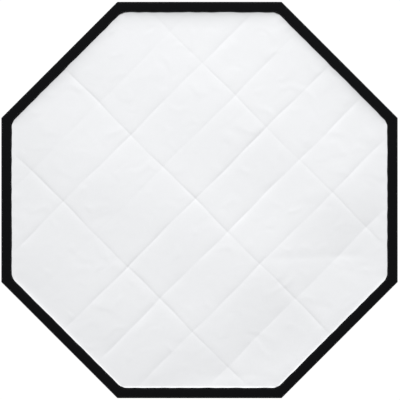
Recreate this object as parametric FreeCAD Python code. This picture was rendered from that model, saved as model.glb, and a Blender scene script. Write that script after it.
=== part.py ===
"""Octagonal studio softbox on a rotating speed ring, for a bayonet studio lamp.

The frame: the origin is the centre of the lamp's seating face on the bayonet insert, +Y points back
to the lamp, -Y is the way the light goes, +Z is up. Sizes are in millimetres and angles in degrees.

A rod plane is a half plane through the Y axis that holds one of the eight rods. The rod planes stand at
22.5, 67.5, 112.5 ... degrees from +Z, so that the front has a flat side at its top. A shape that belongs
to a rod is made in the plane x = 0, with its radius along +Z, and turned about the Y axis into place.
"""

import FreeCAD, Part
import math
import os

from FreeCAD import Matrix, Vector

# ---------------------------------------------------------------- driving dimensions
SIDES = 8
FRONT_ACROSS_FLATS = 950.0        # outer edge of the front, flat side to flat side
DEPTH = 380.0                     # lamp's seating face to the front face

# bayonet insert, the part that the lamp holds
LAMP_BORE_R = 49.0
HUB_R = 58.0
FLANGE_R = 75.0
FLANGE_T = 5.0
FLANGE_ROUNDING = 1.0
LUG_COUNT = 3
LUG_SPAN = 30.0                   # degrees
LUG_FROM_BORE = 3.0               # the upright wall of a lug stands this far outside the bore
LUG_WALL_T = 3.0
LUG_HEIGHT = 10.0
LUG_FOOT_OUT = 5.0
LUG_FOOT_T = 3.0
LOCK_PIN_HOLE_R = 2.6
LOCK_PIN_HOLE_AT_R = 67.0
LOCK_PIN_HOLE_ANGLE = 60.0

# rotating housing
HOUSING_R = 80.0
HOUSING_LENGTH = 40.0
HOUSING_ROUNDING = 2.0
BUSH_WALL = 2.4
RUNNING_GAP = 0.05                # radial, between the hub and the glide bush
SEAT_GAP = 0.05                   # between pieces that sit in or on each other
WASHER_T = 0.9
WASHER_GAP = 0.05
RETAINER_OVER_HOUSING = 7.5       # how far the ring and the washers reach past the housing's bore
RETAINER_T = 3.0
RETAINER_BORE_EXTRA = 1.0
RETAINER_ROUNDING = 0.8
WASHER_CLEAR = 1.0                # a washer's inner edge to the bush, and half that to the ring's edge
SCREW_COUNT = 6
SCREW_R = 1.5
SCREW_LENGTH = 9.0
SCREW_HEAD_R = 2.75
SCREW_HEAD_T = 1.8
SCREW_HEAD_ROUNDING = 0.5
SCREW_HEX_FLAT = 2.0              # across the flats of the socket in the head
SCREW_HEX_DEPTH = 1.2
SCREW_BACKED_OUT = 1.0            # the tapped hole is this much deeper than the screw
POCKET_WALL = 3.5                 # walls left around the cast pockets in the front
POCKET_HALF_SPAN = 14.0           # degrees each side of a pocket's middle
LOCK_WALL = 2.0                   # left between a pocket and the lock's hole

# rod sockets
SOCKET_OUT = 6.0                  # a point on the socket's axis, this far outside the housing
LAUNCH_ANGLE = 67.5               # the rod leaves at this angle from the optical axis
BOSS_R = 7.5
BOSS_IN = 12.0                    # how far the boss reaches in from that point
BOSS_OUT = 24.0                   # and how far out, to the socket's mouth
LINER_R = 4.6
LINER_FLANGE_R = 6.2
LINER_FLANGE_T = 1.2
LINER_FLOOR = 2.0
SOCKET_FLOOR = 4.0                # the bore ends this far in from the point

# rods and their caps
ROD_R = 2.25
ROD_GAP = 0.25                    # radial, in the liner and in the cap
ROD_TO_CLOTH = 7.0                # rod centreline to the inner face of the shell
CAP_R = 4.5
CAP_LENGTH = 20.0
CAP_BORE = 14.0
CAP_ROUNDING = 2.7
TIP_BACK_FROM_LIP = 12.0
POCKET_T = 0.9
POCKET_LENGTH = 18.0
KEEPER_T = 1.0
KEEPER_WEB_T = 1.4                # the fold of webbing that joins the sleeve to the seam
KEEPER_LENGTH = 25.0
KEEPER_SHARES = (0.3, 0.66)       # places along the rod, as shares of the arc

# shell
CLOTH_T = 1.2
CLOTH_FROM_MOUTH = 2.5            # the shell starts this far past the sockets' mouths
CLOTH_PAST_LIP = 4.0              # and is cut off at the lip after running this far past it
LIP_WIDTH = 25.0
LIP_T = 1.2
LOOP_TAPE_T = 1.0
TAPE_WIDTH = 20.0
TAPE_IN = 2.5                     # tapes start this far in from the outer edge
SEAM_TAPE_HALF = 8.0
SEAM_TAPE_T = 0.8
SEAM_TAPE_GAP = 0.2
SEAM_TAPE_SHORT = 1.0             # the tape ends this far behind the lip
CUFF_T = 1.5
CUFF_GAP = 0.3
CUFF_FROM_LOCK = 0.8              # the sleeve starts this far in front of the lock's bush
CUFF_OVER_CLOTH = 10.0            # how far the cuff lies over the cloth
CUFF_CLEAR = 2.2                  # between the cuff and the bosses
CINCH_STRAP_T = 1.6
CINCH_STRAP_WIDTH = 4.6
CINCH_CLEAR = 0.6                 # between the strap and the cuff's cone
BUCKLE_LENGTH = 14.0
BUCKLE_T = 3.2
BUCKLE_ROUNDING = 0.8
BUCKLE_ANGLE = 0.0                # degrees from +Z, at the top

# front diffuser
PEEL_GAP = 0.2                    # between hook tape and loop tape
HOOK_TAPE_T = 1.2
DIFFUSER_T = 0.6
DIFFUSER_IN = 1.0
BAND_WIDTH = 25.0
BAND_T = 0.8

# inner baffle
BAFFLE_DEPTH = 195.0
BAFFLE_FROM_SHELL = 80.0          # baffle's corner to the shell's corner, along the radius
BAFFLE_T = 0.8
BAFFLE_HEM_WIDTH = 18.0
BAFFLE_HEM_T = 1.0
STRAP_WIDTH = 16.0
STRAP_T = 1.0
STRAP_OVERLAP = 30.0              # strap lies this far over the baffle
STRAP_PAST_CORNER = 4.0           # and steps down to the baffle's level this far past its corner
STRAP_SHORT_OF_TAB = 4.0
STRAP_SIDE = 17.0                 # the strap runs beside the rod by this much
TAB_LENGTH = 34.0
TAB_WIDTH = 18.0
TAB_T = 1.0
TAB_CLEAR = 4.0                   # tab's outer corner to the shell
SNAP_STUD_R = 3.4
SNAP_STUD_HEIGHT = 2.2
SNAP_SOCKET_R = 6.5
SNAP_BASE_R = 5.5
SNAP_BASE_T = 0.5
SNAP_GAP = 0.25
SNAP_FROM_TAB_END = 11.0

# rotation lock
LOCK_ANGLE = 180.0                # degrees from +Z, at the bottom
LOCK_DEPTH = 12.9
LOCK_STUD_R = 3.0
LOCK_BUSH_R = 4.8
LOCK_BUSH_GAP = 0.08
LOCK_BUSH_SUNK = 0.4
SHOE_R = 4.4
SHOE_LENGTH = 4.6
SHOE_GAP = 0.05                   # shoe to hub, when locked
SHOE_WAY = 0.3                    # radial, between the shoe and its hole in the glide bush
SHOE_LIFT = 2.2                   # room for the shoe to draw back from the hub
SHOE_SOCKET = 2.0                 # depth of the hole in the shoe for the stud's nose
NOSE_R = 1.8
NOSE_SHORT = 0.2                  # the nose ends this far from the bottom of that hole
KNOB_R = 12.0
KNOB_LENGTH = 20.0
KNOB_NECK_R = 6.6
KNOB_NECK_LENGTH = 4.0
KNOB_STANDOFF = 14.0              # housing to the knob's inner face
KNOB_ROUNDING = 2.0
KNOB_FLUTES = 9
KNOB_FLUTE_R = 2.6
KNOB_FLUTE_DEPTH = 1.43
STUD_IN_KNOB = 15.0

# ---------------------------------------------------------------- places worked out from them
HALF_STEP = 180.0 / SIDES
COS_HALF = math.cos(math.radians(HALF_STEP))
TAN_HALF = math.tan(math.radians(HALF_STEP))
ROD_ANGLES = [HALF_STEP + k * 360.0 / SIDES for k in range(SIDES)]
AXIS = Vector(0, 1, 0)
ORIGIN = Vector(0, 0, 0)

HOUSING_BACK = FLANGE_T + WASHER_T + WASHER_GAP
HOUSING_FRONT = HOUSING_BACK + HOUSING_LENGTH
RETAINER_BACK = HOUSING_FRONT + WASHER_T + WASHER_GAP
BUSH_IN_R = HUB_R + RUNNING_GAP
BUSH_OUT_R = BUSH_IN_R + BUSH_WALL
HOUSING_BORE_R = BUSH_OUT_R + SEAT_GAP
RETAINER_R = HOUSING_BORE_R + RETAINER_OVER_HOUSING
LUG_WALL_R = LAMP_BORE_R + LUG_FROM_BORE
SCREW_AT_R = (LAMP_BORE_R + RETAINER_BORE_EXTRA + HUB_R) / 2
POCKET_BACK = LOCK_DEPTH + LOCK_BUSH_R + LOCK_WALL
CUFF_SLEEVE_AT = LOCK_DEPTH + LOCK_BUSH_R + CUFF_FROM_LOCK
SOCKET_AT_R = HOUSING_R + SOCKET_OUT

# the front stack, from the front face back
BAND_BACK = DEPTH - BAND_T
DIFFUSER_BACK = BAND_BACK - DIFFUSER_T
HOOK_BACK = DIFFUSER_BACK - HOOK_TAPE_T
LOOP_FRONT = HOOK_BACK - PEEL_GAP
LOOP_BACK = LOOP_FRONT - LOOP_TAPE_T
LIP_BACK = LOOP_BACK - LIP_T
FRONT_APOTHEM = FRONT_ACROSS_FLATS / 2
FRONT_CORNER_R = FRONT_APOTHEM / COS_HALF


def at(radius, depth, side=0.0):
    """The point of the plane x = side at this radius (along +Z) and this depth (along -Y)."""
    return Vector(side, -depth, radius)


# a rod's own line: straight in its socket, then one arc that ends behind the front corner
LAUNCH = Vector(0, -math.cos(math.radians(LAUNCH_ANGLE)), math.sin(math.radians(LAUNCH_ANGLE)))
INWARD = Vector(0, -math.sin(math.radians(LAUNCH_ANGLE)), -math.cos(math.radians(LAUNCH_ANGLE)))

# the sockets stand so far forward that the cuff, which clears their bosses, leaves room for its strap
SLEEVE_R = HOUSING_R + CUFF_GAP
CUFF_CONE_T = CUFF_T / LAUNCH.z
CUFF_SLEEVE_FRONT = CUFF_SLEEVE_AT + CINCH_STRAP_WIDTH + CINCH_CLEAR + CUFF_CONE_T
BOSS_BACK = at(SOCKET_AT_R, 0) - INWARD * BOSS_R
BOSS_ROOT = BOSS_BACK + LAUNCH * ((SLEEVE_R - BOSS_BACK.z) / LAUNCH.z)
SOCKET_AT_DEPTH = CUFF_SLEEVE_FRONT + CUFF_CLEAR + BOSS_ROOT.y
SOCKET_POINT = at(SOCKET_AT_R, SOCKET_AT_DEPTH)
SOCKET_MOUTH = SOCKET_POINT + LAUNCH * BOSS_OUT
TO_CORNER = at(FRONT_CORNER_R, LIP_BACK) - SOCKET_MOUTH
ROD_TO_OUTSIDE = ROD_TO_CLOTH + CLOTH_T
CHORD_SQUARED = TO_CORNER.Length ** 2 - ROD_TO_OUTSIDE ** 2
BEND_R = CHORD_SQUARED / (2 * TO_CORNER.dot(INWARD) + 2 * ROD_TO_OUTSIDE)
BEND_CENTRE = SOCKET_MOUTH + INWARD * BEND_R


def on_bend(offset, turn):
    """The point at this offset outside the rod's line, turned this many degrees from the mouth."""
    back = INWARD * -1
    a = math.radians(turn)
    return BEND_CENTRE + (back * math.cos(a) + LAUNCH * math.sin(a)) * (BEND_R + offset)


def bend_direction(turn):
    """The rod's direction at this turn."""
    a = math.radians(turn)
    return LAUNCH * math.cos(a) + INWARD * math.sin(a)


def turn_at_depth(offset, depth):
    """The turn at which the line at this offset reaches this depth, found by halving."""
    low = 0.0
    high = LAUNCH_ANGLE
    for _ in range(60):
        middle = (low + high) / 2
        if -on_bend(offset, middle).y < depth:
            low = middle
        else:
            high = middle
    return (low + high) / 2


ROD_TURN = turn_at_depth(0.0, LIP_BACK - TIP_BACK_FROM_LIP)
BAFFLE_CORNER_R = on_bend(ROD_TO_CLOTH, turn_at_depth(ROD_TO_CLOTH, BAFFLE_DEPTH)).z - BAFFLE_FROM_SHELL


# ---------------------------------------------------------------- helpers
def turned(shape, angle):
    """A copy of the shape turned about the Y axis, from +Z towards +X."""
    made = shape.copy()
    made.rotate(ORIGIN, AXIS, angle)
    return made


def disc(radius, back, front):
    """A solid cylinder on the Y axis between two depths."""
    return Part.makeCylinder(radius, front - back, at(0, back), AXIS * -1)


def washer(inner, outer, back, front):
    """A ring on the Y axis between two depths."""
    return disc(outer, back, front).cut(disc(inner, back - 1, front + 1))


def rounded(shape, radius, wanted):
    """The shape with a fillet on every edge that the function wanted picks."""
    return shape.makeFillet(radius, [e for e in shape.Edges if wanted(e)])


def is_circle(edge, radius, depth=None):
    """Whether an edge is a circle of this radius, at this depth if one is given."""
    if edge.Curve.TypeId != "Part::GeomCircle" or abs(edge.Curve.Radius - radius) > 1e-6:
        return False
    return depth is None or abs(-edge.Curve.Center.y - depth) < 1e-6


def face_of(points):
    """A flat face with these corners."""
    return Part.Face(Part.makePolygon(points + points[:1]))


def octagon(apothem, back, front):
    """A solid plate with the front's outline at this half width across flats."""
    corner = apothem / COS_HALF
    corners = [turned(Part.Vertex(at(corner, back)), a).Point for a in ROD_ANGLES]
    return face_of(corners).extrude(AXIS * -(front - back))


def octagon_ring(outer, width, back, front):
    """A flat octagonal band of this width inside the outer half width."""
    return octagon(outer, back, front).cut(octagon(outer - width, back - 1, front + 1))


def around(shape):
    """Copies of a shape in every rod plane."""
    return [turned(shape, a) for a in ROD_ANGLES]


def sector(inner, outer, half_span, back, front):
    """A piece of a ring on the Y axis, this many degrees to each side of +Z."""
    section = face_of([at(inner, back), at(outer, back), at(outer, front), at(inner, front)])
    return turned(section.revolve(ORIGIN, AXIS, 2 * half_span), -half_span)


def save(node, *shapes):
    """Writes one node: a solid, or a group of separate solids."""
    solids = [s for shape in shapes for s in shape.Solids]
    for solid in solids:
        if not solid.isValid() or solid.Volume <= 0:
            raise RuntimeError(f"{node} has a bad solid")
    made = solids[0] if len(solids) == 1 else Part.makeCompound(solids)
    made.exportStep(f"parts/{node}.step")


# ---------------------------------------------------------------- the insert that the lamp holds
def bayonet_insert():
    """A flange that seats on the lamp, with three hooked lugs behind it and the hub in front."""
    body = disc(FLANGE_R, 0, FLANGE_T)
    body = rounded(body, FLANGE_ROUNDING, lambda e: is_circle(e, FLANGE_R))
    body = body.fuse(disc(HUB_R, FLANGE_T, RETAINER_BACK))
    lug_wall = [
        at(LUG_WALL_R, FLANGE_T / 2),
        at(LUG_WALL_R, -LUG_HEIGHT),
        at(LUG_WALL_R + LUG_WALL_T + LUG_FOOT_OUT, -LUG_HEIGHT),
        at(LUG_WALL_R + LUG_WALL_T + LUG_FOOT_OUT, -LUG_HEIGHT + LUG_FOOT_T),
        at(LUG_WALL_R + LUG_WALL_T, -LUG_HEIGHT + LUG_FOOT_T),
        at(LUG_WALL_R + LUG_WALL_T, FLANGE_T / 2),
    ]
    lug = turned(face_of(lug_wall).revolve(ORIGIN, AXIS, LUG_SPAN), -LUG_SPAN / 2)
    for k in range(LUG_COUNT):
        body = body.fuse(turned(lug, k * 360.0 / LUG_COUNT))
    body = body.cut(disc(LAMP_BORE_R, -1, RETAINER_BACK + 1))
    pin_hole = Part.makeCylinder(LOCK_PIN_HOLE_R, FLANGE_T + 2, at(LOCK_PIN_HOLE_AT_R, -1), AXIS * -1)
    body = body.cut(turned(pin_hole, LOCK_PIN_HOLE_ANGLE))
    tapped = Part.makeCylinder(SCREW_R + SEAT_GAP, SCREW_LENGTH, at(SCREW_AT_R, RETAINER_BACK + 1), AXIS)
    for k in range(SCREW_COUNT):
        body = body.cut(turned(tapped, k * 360.0 / SCREW_COUNT))
    return body.removeSplitter()


def retaining_ring():
    """The flat ring that keeps the housing on the hub."""
    front = RETAINER_BACK + RETAINER_T
    body = washer(LAMP_BORE_R + RETAINER_BORE_EXTRA, RETAINER_R, RETAINER_BACK, front)
    body = rounded(body, RETAINER_ROUNDING, lambda e: is_circle(e, RETAINER_R, front))
    foot = at(SCREW_AT_R, RETAINER_BACK - 1)
    hole = Part.makeCylinder(SCREW_R + 2 * SEAT_GAP, RETAINER_T + 2, foot, AXIS * -1)
    for k in range(SCREW_COUNT):
        body = body.cut(turned(hole, k * 360.0 / SCREW_COUNT))
    return body


def retaining_screws():
    """Socket head screws through the retaining ring into the hub."""
    head_back = RETAINER_BACK + RETAINER_T
    head_front = head_back + SCREW_HEAD_T
    shank_length = SCREW_LENGTH - 1.0 - SCREW_BACKED_OUT + RETAINER_T
    shank = Part.makeCylinder(SCREW_R, shank_length, at(SCREW_AT_R, head_back), AXIS)
    head = Part.makeCylinder(SCREW_HEAD_R, SCREW_HEAD_T, at(SCREW_AT_R, head_back), AXIS * -1)
    head = rounded(head, SCREW_HEAD_ROUNDING, lambda e: is_circle(e, SCREW_HEAD_R, head_front))
    hex_r = SCREW_HEX_FLAT / 2 / math.cos(math.radians(30))
    corners = []
    for k in range(6):
        a = math.radians(60 * k)
        corners.append(at(SCREW_AT_R + hex_r * math.cos(a), head_front + 1, hex_r * math.sin(a)))
    socket = face_of(corners).extrude(AXIS * (SCREW_HEX_DEPTH + 1))
    screw = shank.fuse(head).cut(socket).removeSplitter()
    return [turned(screw, k * 360.0 / SCREW_COUNT) for k in range(SCREW_COUNT)]


# ---------------------------------------------------------------- the housing that turns on it
def socket_cylinder(radius, start, end):
    """A cylinder on a socket's axis, between two distances from the socket's point."""
    return Part.makeCylinder(radius, end - start, SOCKET_POINT + LAUNCH * start, LAUNCH)


def lock_cylinder(radius, inner, outer):
    """A cylinder on the lock's axis, between two radii, before it is turned to the lock's angle."""
    return Part.makeCylinder(radius, outer - inner, at(inner, LOCK_DEPTH), Vector(0, 0, 1))


def ring_housing():
    """The cast ring: eight socket bosses, pockets that lighten it and the lock's radial hole."""
    body = disc(HOUSING_R, HOUSING_BACK, HOUSING_FRONT)
    body = rounded(body, HOUSING_ROUNDING, lambda e: is_circle(e, HOUSING_R))
    inner = HOUSING_BORE_R + POCKET_WALL
    outer = HOUSING_R - POCKET_WALL
    pocket = sector(inner, outer, POCKET_HALF_SPAN, POCKET_BACK, HOUSING_FRONT + 1)
    for k in range(SIDES):
        body = body.cut(turned(pocket, k * 360.0 / SIDES))
    for one in around(socket_cylinder(BOSS_R, -BOSS_IN, BOSS_OUT)):
        body = body.fuse(one)
    bore = socket_cylinder(LINER_R + SEAT_GAP, -SOCKET_FLOOR, BOSS_OUT + 1)
    for one in around(bore):
        body = body.cut(one)
    body = body.cut(disc(HOUSING_BORE_R, HOUSING_BACK - 1, HOUSING_FRONT + 1))
    lock_hole = lock_cylinder(LOCK_BUSH_R + SEAT_GAP, HOUSING_BORE_R - 1, HOUSING_R + 2)
    return body.cut(turned(lock_hole, LOCK_ANGLE)).removeSplitter()


def glide_bush():
    """The nylon sleeve that is pressed into the housing and turns on the hub."""
    body = washer(BUSH_IN_R, BUSH_OUT_R, HOUSING_BACK, HOUSING_FRONT)
    hole = lock_cylinder(SHOE_R + SHOE_WAY, HUB_R - 2, HOUSING_BORE_R + 2)
    return body.cut(turned(hole, LOCK_ANGLE))


def glide_washer(back):
    """A thin nylon ring at one end of the housing."""
    return washer(BUSH_IN_R + WASHER_CLEAR, RETAINER_R - WASHER_CLEAR / 2, back, back + WASHER_T)


def socket_liner():
    """The flanged nylon tube in a socket, which holds the rod's end."""
    tube = socket_cylinder(LINER_R, -SOCKET_FLOOR + SEAT_GAP, BOSS_OUT + LINER_FLANGE_T)
    tube = tube.fuse(socket_cylinder(LINER_FLANGE_R, BOSS_OUT + SEAT_GAP, BOSS_OUT + LINER_FLANGE_T))
    rod_way = socket_cylinder(ROD_R + ROD_GAP, -SOCKET_FLOOR + LINER_FLOOR, BOSS_OUT + 2 * LINER_FLANGE_T)
    return tube.cut(rod_way).removeSplitter()


# ---------------------------------------------------------------- rods
def round_section(radius, turn):
    """A round face across the rod's line at this turn."""
    return Part.Face(Part.Wire(Part.makeCircle(radius, on_bend(0, turn), bend_direction(turn))))


def along_bend(section, turn):
    """The solid that a face across the rod's line sweeps as it goes this many degrees along the bend."""
    return section.revolve(BEND_CENTRE, LAUNCH.cross(INWARD), turn)


def rod():
    """One sprung rod: straight in its socket, bent from the mouth to the cap."""
    straight = socket_cylinder(ROD_R, -SOCKET_FLOOR + LINER_FLOOR + ROD_GAP, BOSS_OUT)
    return straight.fuse(along_bend(round_section(ROD_R, 0), ROD_TURN)).removeSplitter()


def rod_cap():
    """The blunt plastic cap on a rod's front end."""
    direction = bend_direction(ROD_TURN)
    end = on_bend(0, ROD_TURN)
    start = end - direction * (CAP_BORE - ROD_GAP)
    body = Part.makeCylinder(CAP_R, CAP_LENGTH, start, direction)
    nose = start + direction * CAP_LENGTH
    circles = [e for e in body.Edges if e.Curve.TypeId == "Part::GeomCircle"]
    body = body.makeFillet(CAP_ROUNDING, [e for e in circles if (e.Curve.Center - nose).Length < 1e-6])
    return body.cut(Part.makeCylinder(ROD_R + ROD_GAP, CAP_BORE, start, direction))


def corner_pocket():
    """The webbing cup, sewn into the shell's corner, that the cap sits in."""
    direction = bend_direction(ROD_TURN)
    start = on_bend(0, ROD_TURN) - direction * (CAP_BORE - ROD_GAP)
    nose = start + direction * (CAP_LENGTH + SEAT_GAP)
    inner = CAP_R + SEAT_GAP
    cup = Part.makeCylinder(inner + POCKET_T, POCKET_LENGTH, nose + direction * POCKET_T, direction * -1)
    return cup.cut(Part.makeCylinder(inner, POCKET_LENGTH + 5, nose, direction * -1))


def rod_keepers():
    """The short webbing sleeves, sewn to the seam, that keep the rod on it."""
    half = math.degrees(KEEPER_LENGTH / 2 / BEND_R)
    inner = ROD_R + ROD_GAP
    web_end = ROD_TO_CLOTH - SEAM_TAPE_GAP - SEAM_TAPE_T - SEAT_GAP - KEEPER_WEB_T / 2 * TAN_HALF
    keepers = []
    for share in KEEPER_SHARES:
        start = share * ROD_TURN - half
        side = Vector(KEEPER_WEB_T / 2, 0, 0)
        foot = on_bend(inner, start)
        top = on_bend(web_end, start)
        web = face_of([foot - side, foot + side, top + side, top - side])
        section = round_section(inner + KEEPER_T, start).fuse(web).cut(round_section(inner, start))
        keepers.append(along_bend(section.removeSplitter(), 2 * half).removeSplitter())
    return keepers


# ---------------------------------------------------------------- shell
def sheet_section(inner_offset, outer_offset, start_turn, end_turn):
    """The shell's section in a rod plane, between two offsets outside the rod's line."""
    middle = (start_turn + end_turn) / 2
    arcs = [
        Part.Arc(on_bend(o, start_turn), on_bend(o, middle), on_bend(o, end_turn)).toShape()
        for o in (inner_offset, outer_offset)
    ]
    ends = [
        Part.LineSegment(on_bend(inner_offset, turn), on_bend(outer_offset, turn)).toShape()
        for turn in (start_turn, end_turn)
    ]
    return Part.Face(Part.Wire(Part.__sortEdges__(arcs + ends)))


def gore_sheet(inner_offset, outer_offset, start_turn, end_turn):
    """A sheet of straight rulings from one rod plane to the next, in the plane x = 0 at its middle."""
    flatten = Matrix()
    flatten.scale(Vector(1, 1, COS_HALF))
    section = sheet_section(inner_offset, outer_offset, start_turn, end_turn).transformGeometry(flatten)
    reach = FRONT_CORNER_R * TAN_HALF
    section.translate(Vector(-reach, 0, 0))
    sheet = section.extrude(Vector(2 * reach, 0, 0))
    far = FRONT_CORNER_R + 20
    wedge_corners = [at(0, -1), at(far, -1, far * TAN_HALF), at(far, -1, -far * TAN_HALF)]
    wedge = face_of(wedge_corners).extrude(AXIS * -(DEPTH + 20))
    behind_lip = Part.makeBox(4 * far, LIP_BACK, 2 * far, Vector(-2 * far, -LIP_BACK, 0))
    return sheet.common(wedge).common(behind_lip)


CLOTH_START = math.degrees(CLOTH_FROM_MOUTH / BEND_R)
CLOTH_END = turn_at_depth(ROD_TO_CLOTH, LIP_BACK + CLOTH_PAST_LIP)


def gore():
    """One of the eight panels of the shell, black outside and silver inside."""
    return gore_sheet(ROD_TO_CLOTH, ROD_TO_CLOTH + CLOTH_T, CLOTH_START, CLOTH_END)


def seam_tape():
    """The tape that covers the seam along a rod, on the inside of the shell."""
    outer = ROD_TO_CLOTH - SEAM_TAPE_GAP
    end = turn_at_depth(ROD_TO_CLOTH, LIP_BACK - SEAM_TAPE_SHORT)
    sheet = gore_sheet(outer - SEAM_TAPE_T, outer, 2 * CLOTH_START, end)
    halves = []
    for way in (-1, 1):
        half = turned(sheet, way * HALF_STEP)
        low = -SEAM_TAPE_HALF if way < 0 else 0.0
        strip = Part.makeBox(SEAM_TAPE_HALF, DEPTH + 20, 2 * FRONT_CORNER_R, Vector(low, -DEPTH - 10, 0))
        halves.append(half.common(strip))
    return halves[0].fuse(halves[1]).removeSplitter()


def rear_cuff():
    """The gathered collar that closes the shell behind the sockets and grips the housing."""
    out = SOCKET_MOUTH + LAUNCH * CUFF_OVER_CLOTH - INWARD * (BOSS_R + CUFF_CLEAR)
    profile = [
        at(SLEEVE_R, CUFF_SLEEVE_AT),
        at(SLEEVE_R, CUFF_SLEEVE_FRONT),
        at(out.z, -out.y),
        at(out.z, -out.y - CUFF_CONE_T),
        at(SLEEVE_R + CUFF_T, CUFF_SLEEVE_FRONT - CUFF_CONE_T),
        at(SLEEVE_R + CUFF_T, CUFF_SLEEVE_AT),
    ]
    return face_of(profile).revolve(ORIGIN, AXIS, 360)


CINCH_IN_R = SLEEVE_R + CUFF_T + SEAT_GAP
CINCH_OUT_R = CINCH_IN_R + CINCH_STRAP_T


def cinch_strap():
    """The strap that draws the cuff tight on the housing."""
    return washer(CINCH_IN_R, CINCH_OUT_R, CUFF_SLEEVE_AT, CUFF_SLEEVE_AT + CINCH_STRAP_WIDTH)


def cinch_buckle():
    """The moulded ladder buckle on the strap."""
    corner = Vector(-BUCKLE_LENGTH / 2, -CUFF_SLEEVE_AT - CINCH_STRAP_WIDTH, CINCH_IN_R)
    block = Part.makeBox(BUCKLE_LENGTH, CINCH_STRAP_WIDTH, CINCH_STRAP_T + BUCKLE_T, corner)
    block = rounded(block, BUCKLE_ROUNDING, lambda e: e.BoundBox.ZMin > CINCH_OUT_R)
    strap_way = disc(CINCH_OUT_R + SEAT_GAP, 0, DEPTH)
    block = block.cut(strap_way)
    slot_length = BUCKLE_LENGTH / 5
    slot_front = -CUFF_SLEEVE_AT - 0.75 * CINCH_STRAP_WIDTH
    for way in (-1, 1):
        foot = Vector((way - 0.5) * slot_length, slot_front, CINCH_OUT_R + 1)
        block = block.cut(Part.makeBox(slot_length, CINCH_STRAP_WIDTH / 2, BUCKLE_T + 2, foot))
    return turned(block, BUCKLE_ANGLE)


# ---------------------------------------------------------------- inner baffle
TAB_FRONT = BAFFLE_DEPTH - SNAP_STUD_HEIGHT - SNAP_GAP
SHELL_R_AT_TAB = on_bend(ROD_TO_CLOTH, turn_at_depth(ROD_TO_CLOTH, TAB_FRONT - TAB_T)).z
TAB_OUT_R = SHELL_R_AT_TAB - (STRAP_SIDE + TAB_WIDTH / 2) * TAN_HALF - TAB_CLEAR
TAB_IN_R = TAB_OUT_R - TAB_LENGTH
STRAP_OUT_R = TAB_OUT_R - STRAP_SHORT_OF_TAB
SNAP_AT_R = TAB_IN_R + SNAP_FROM_TAB_END


def plate(width, inner_r, outer_r, back, front):
    """A flat strip beside a rod plane, from one radius to another."""
    corner = Vector(STRAP_SIDE - width / 2, -front, inner_r)
    return Part.makeBox(width, front - back, outer_r - inner_r, corner)


def snap_cylinder(radius, back, front):
    """A cylinder along the Y axis at the snap's place."""
    return Part.makeCylinder(radius, front - back, at(SNAP_AT_R, back, STRAP_SIDE), AXIS * -1)


def shell_tab():
    """The webbing tab, sewn to the shell beside a rod, that carries a snap stud."""
    return plate(TAB_WIDTH, TAB_IN_R, TAB_OUT_R, TAB_FRONT - TAB_T, TAB_FRONT)


def snap_stud():
    """The male half of a snap, on the front of its tab."""
    base = snap_cylinder(SNAP_BASE_R, TAB_FRONT, TAB_FRONT + SNAP_BASE_T)
    post = snap_cylinder(SNAP_STUD_R, TAB_FRONT, TAB_FRONT + SNAP_STUD_HEIGHT)
    return base.fuse(post).removeSplitter()


def snap_socket():
    """The female half of a snap, on the back of a baffle strap."""
    back = TAB_FRONT + SNAP_BASE_T + SNAP_GAP
    body = snap_cylinder(SNAP_SOCKET_R, back, BAFFLE_DEPTH)
    return body.cut(snap_cylinder(SNAP_STUD_R + SNAP_GAP, back - 1, BAFFLE_DEPTH + 1))


def baffle_strap():
    """The elastic strap at a corner of the baffle, sewn to its front."""
    start = BAFFLE_CORNER_R - STRAP_OVERLAP
    step = BAFFLE_CORNER_R + STRAP_PAST_CORNER
    front_of_hem = BAFFLE_DEPTH + BAFFLE_T + BAFFLE_HEM_T
    over = plate(STRAP_WIDTH, start, step, front_of_hem, front_of_hem + STRAP_T)
    drop = plate(STRAP_WIDTH, step, step + STRAP_T, BAFFLE_DEPTH, front_of_hem + STRAP_T)
    out = plate(STRAP_WIDTH, step, STRAP_OUT_R, BAFFLE_DEPTH, BAFFLE_DEPTH + STRAP_T)
    return over.fuse(drop).fuse(out).removeSplitter()


# ---------------------------------------------------------------- rotation lock
SHOE_IN_R = HUB_R + SHOE_GAP
SHOE_OUT_R = SHOE_IN_R + SHOE_LENGTH
KNOB_IN_R = HOUSING_R + KNOB_STANDOFF


def lock_bush():
    """The brass bush in the housing that the lock's stud is screwed through."""
    body = lock_cylinder(LOCK_BUSH_R, SHOE_OUT_R + SHOE_LIFT, HOUSING_R - LOCK_BUSH_SUNK)
    return turned(body.cut(lock_cylinder(LOCK_STUD_R + LOCK_BUSH_GAP, HUB_R, HOUSING_R + 1)), LOCK_ANGLE)


def brake_shoe():
    """The nylon pad that the stud presses on the hub."""
    body = lock_cylinder(SHOE_R, HUB_R - 3, SHOE_OUT_R)
    body = body.cut(disc(SHOE_IN_R, 0, DEPTH))
    body = body.cut(lock_cylinder(NOSE_R + SEAT_GAP, SHOE_OUT_R - SHOE_SOCKET, SHOE_OUT_R + 1))
    return turned(body, LOCK_ANGLE)


def lock_stud():
    """The steel stud, with a nose that turns in the shoe."""
    body = lock_cylinder(LOCK_STUD_R, SHOE_OUT_R + SEAT_GAP, KNOB_IN_R + STUD_IN_KNOB)
    nose = lock_cylinder(NOSE_R, SHOE_OUT_R - SHOE_SOCKET + NOSE_SHORT, SHOE_OUT_R + 1)
    return turned(body.fuse(nose).removeSplitter(), LOCK_ANGLE)


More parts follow.
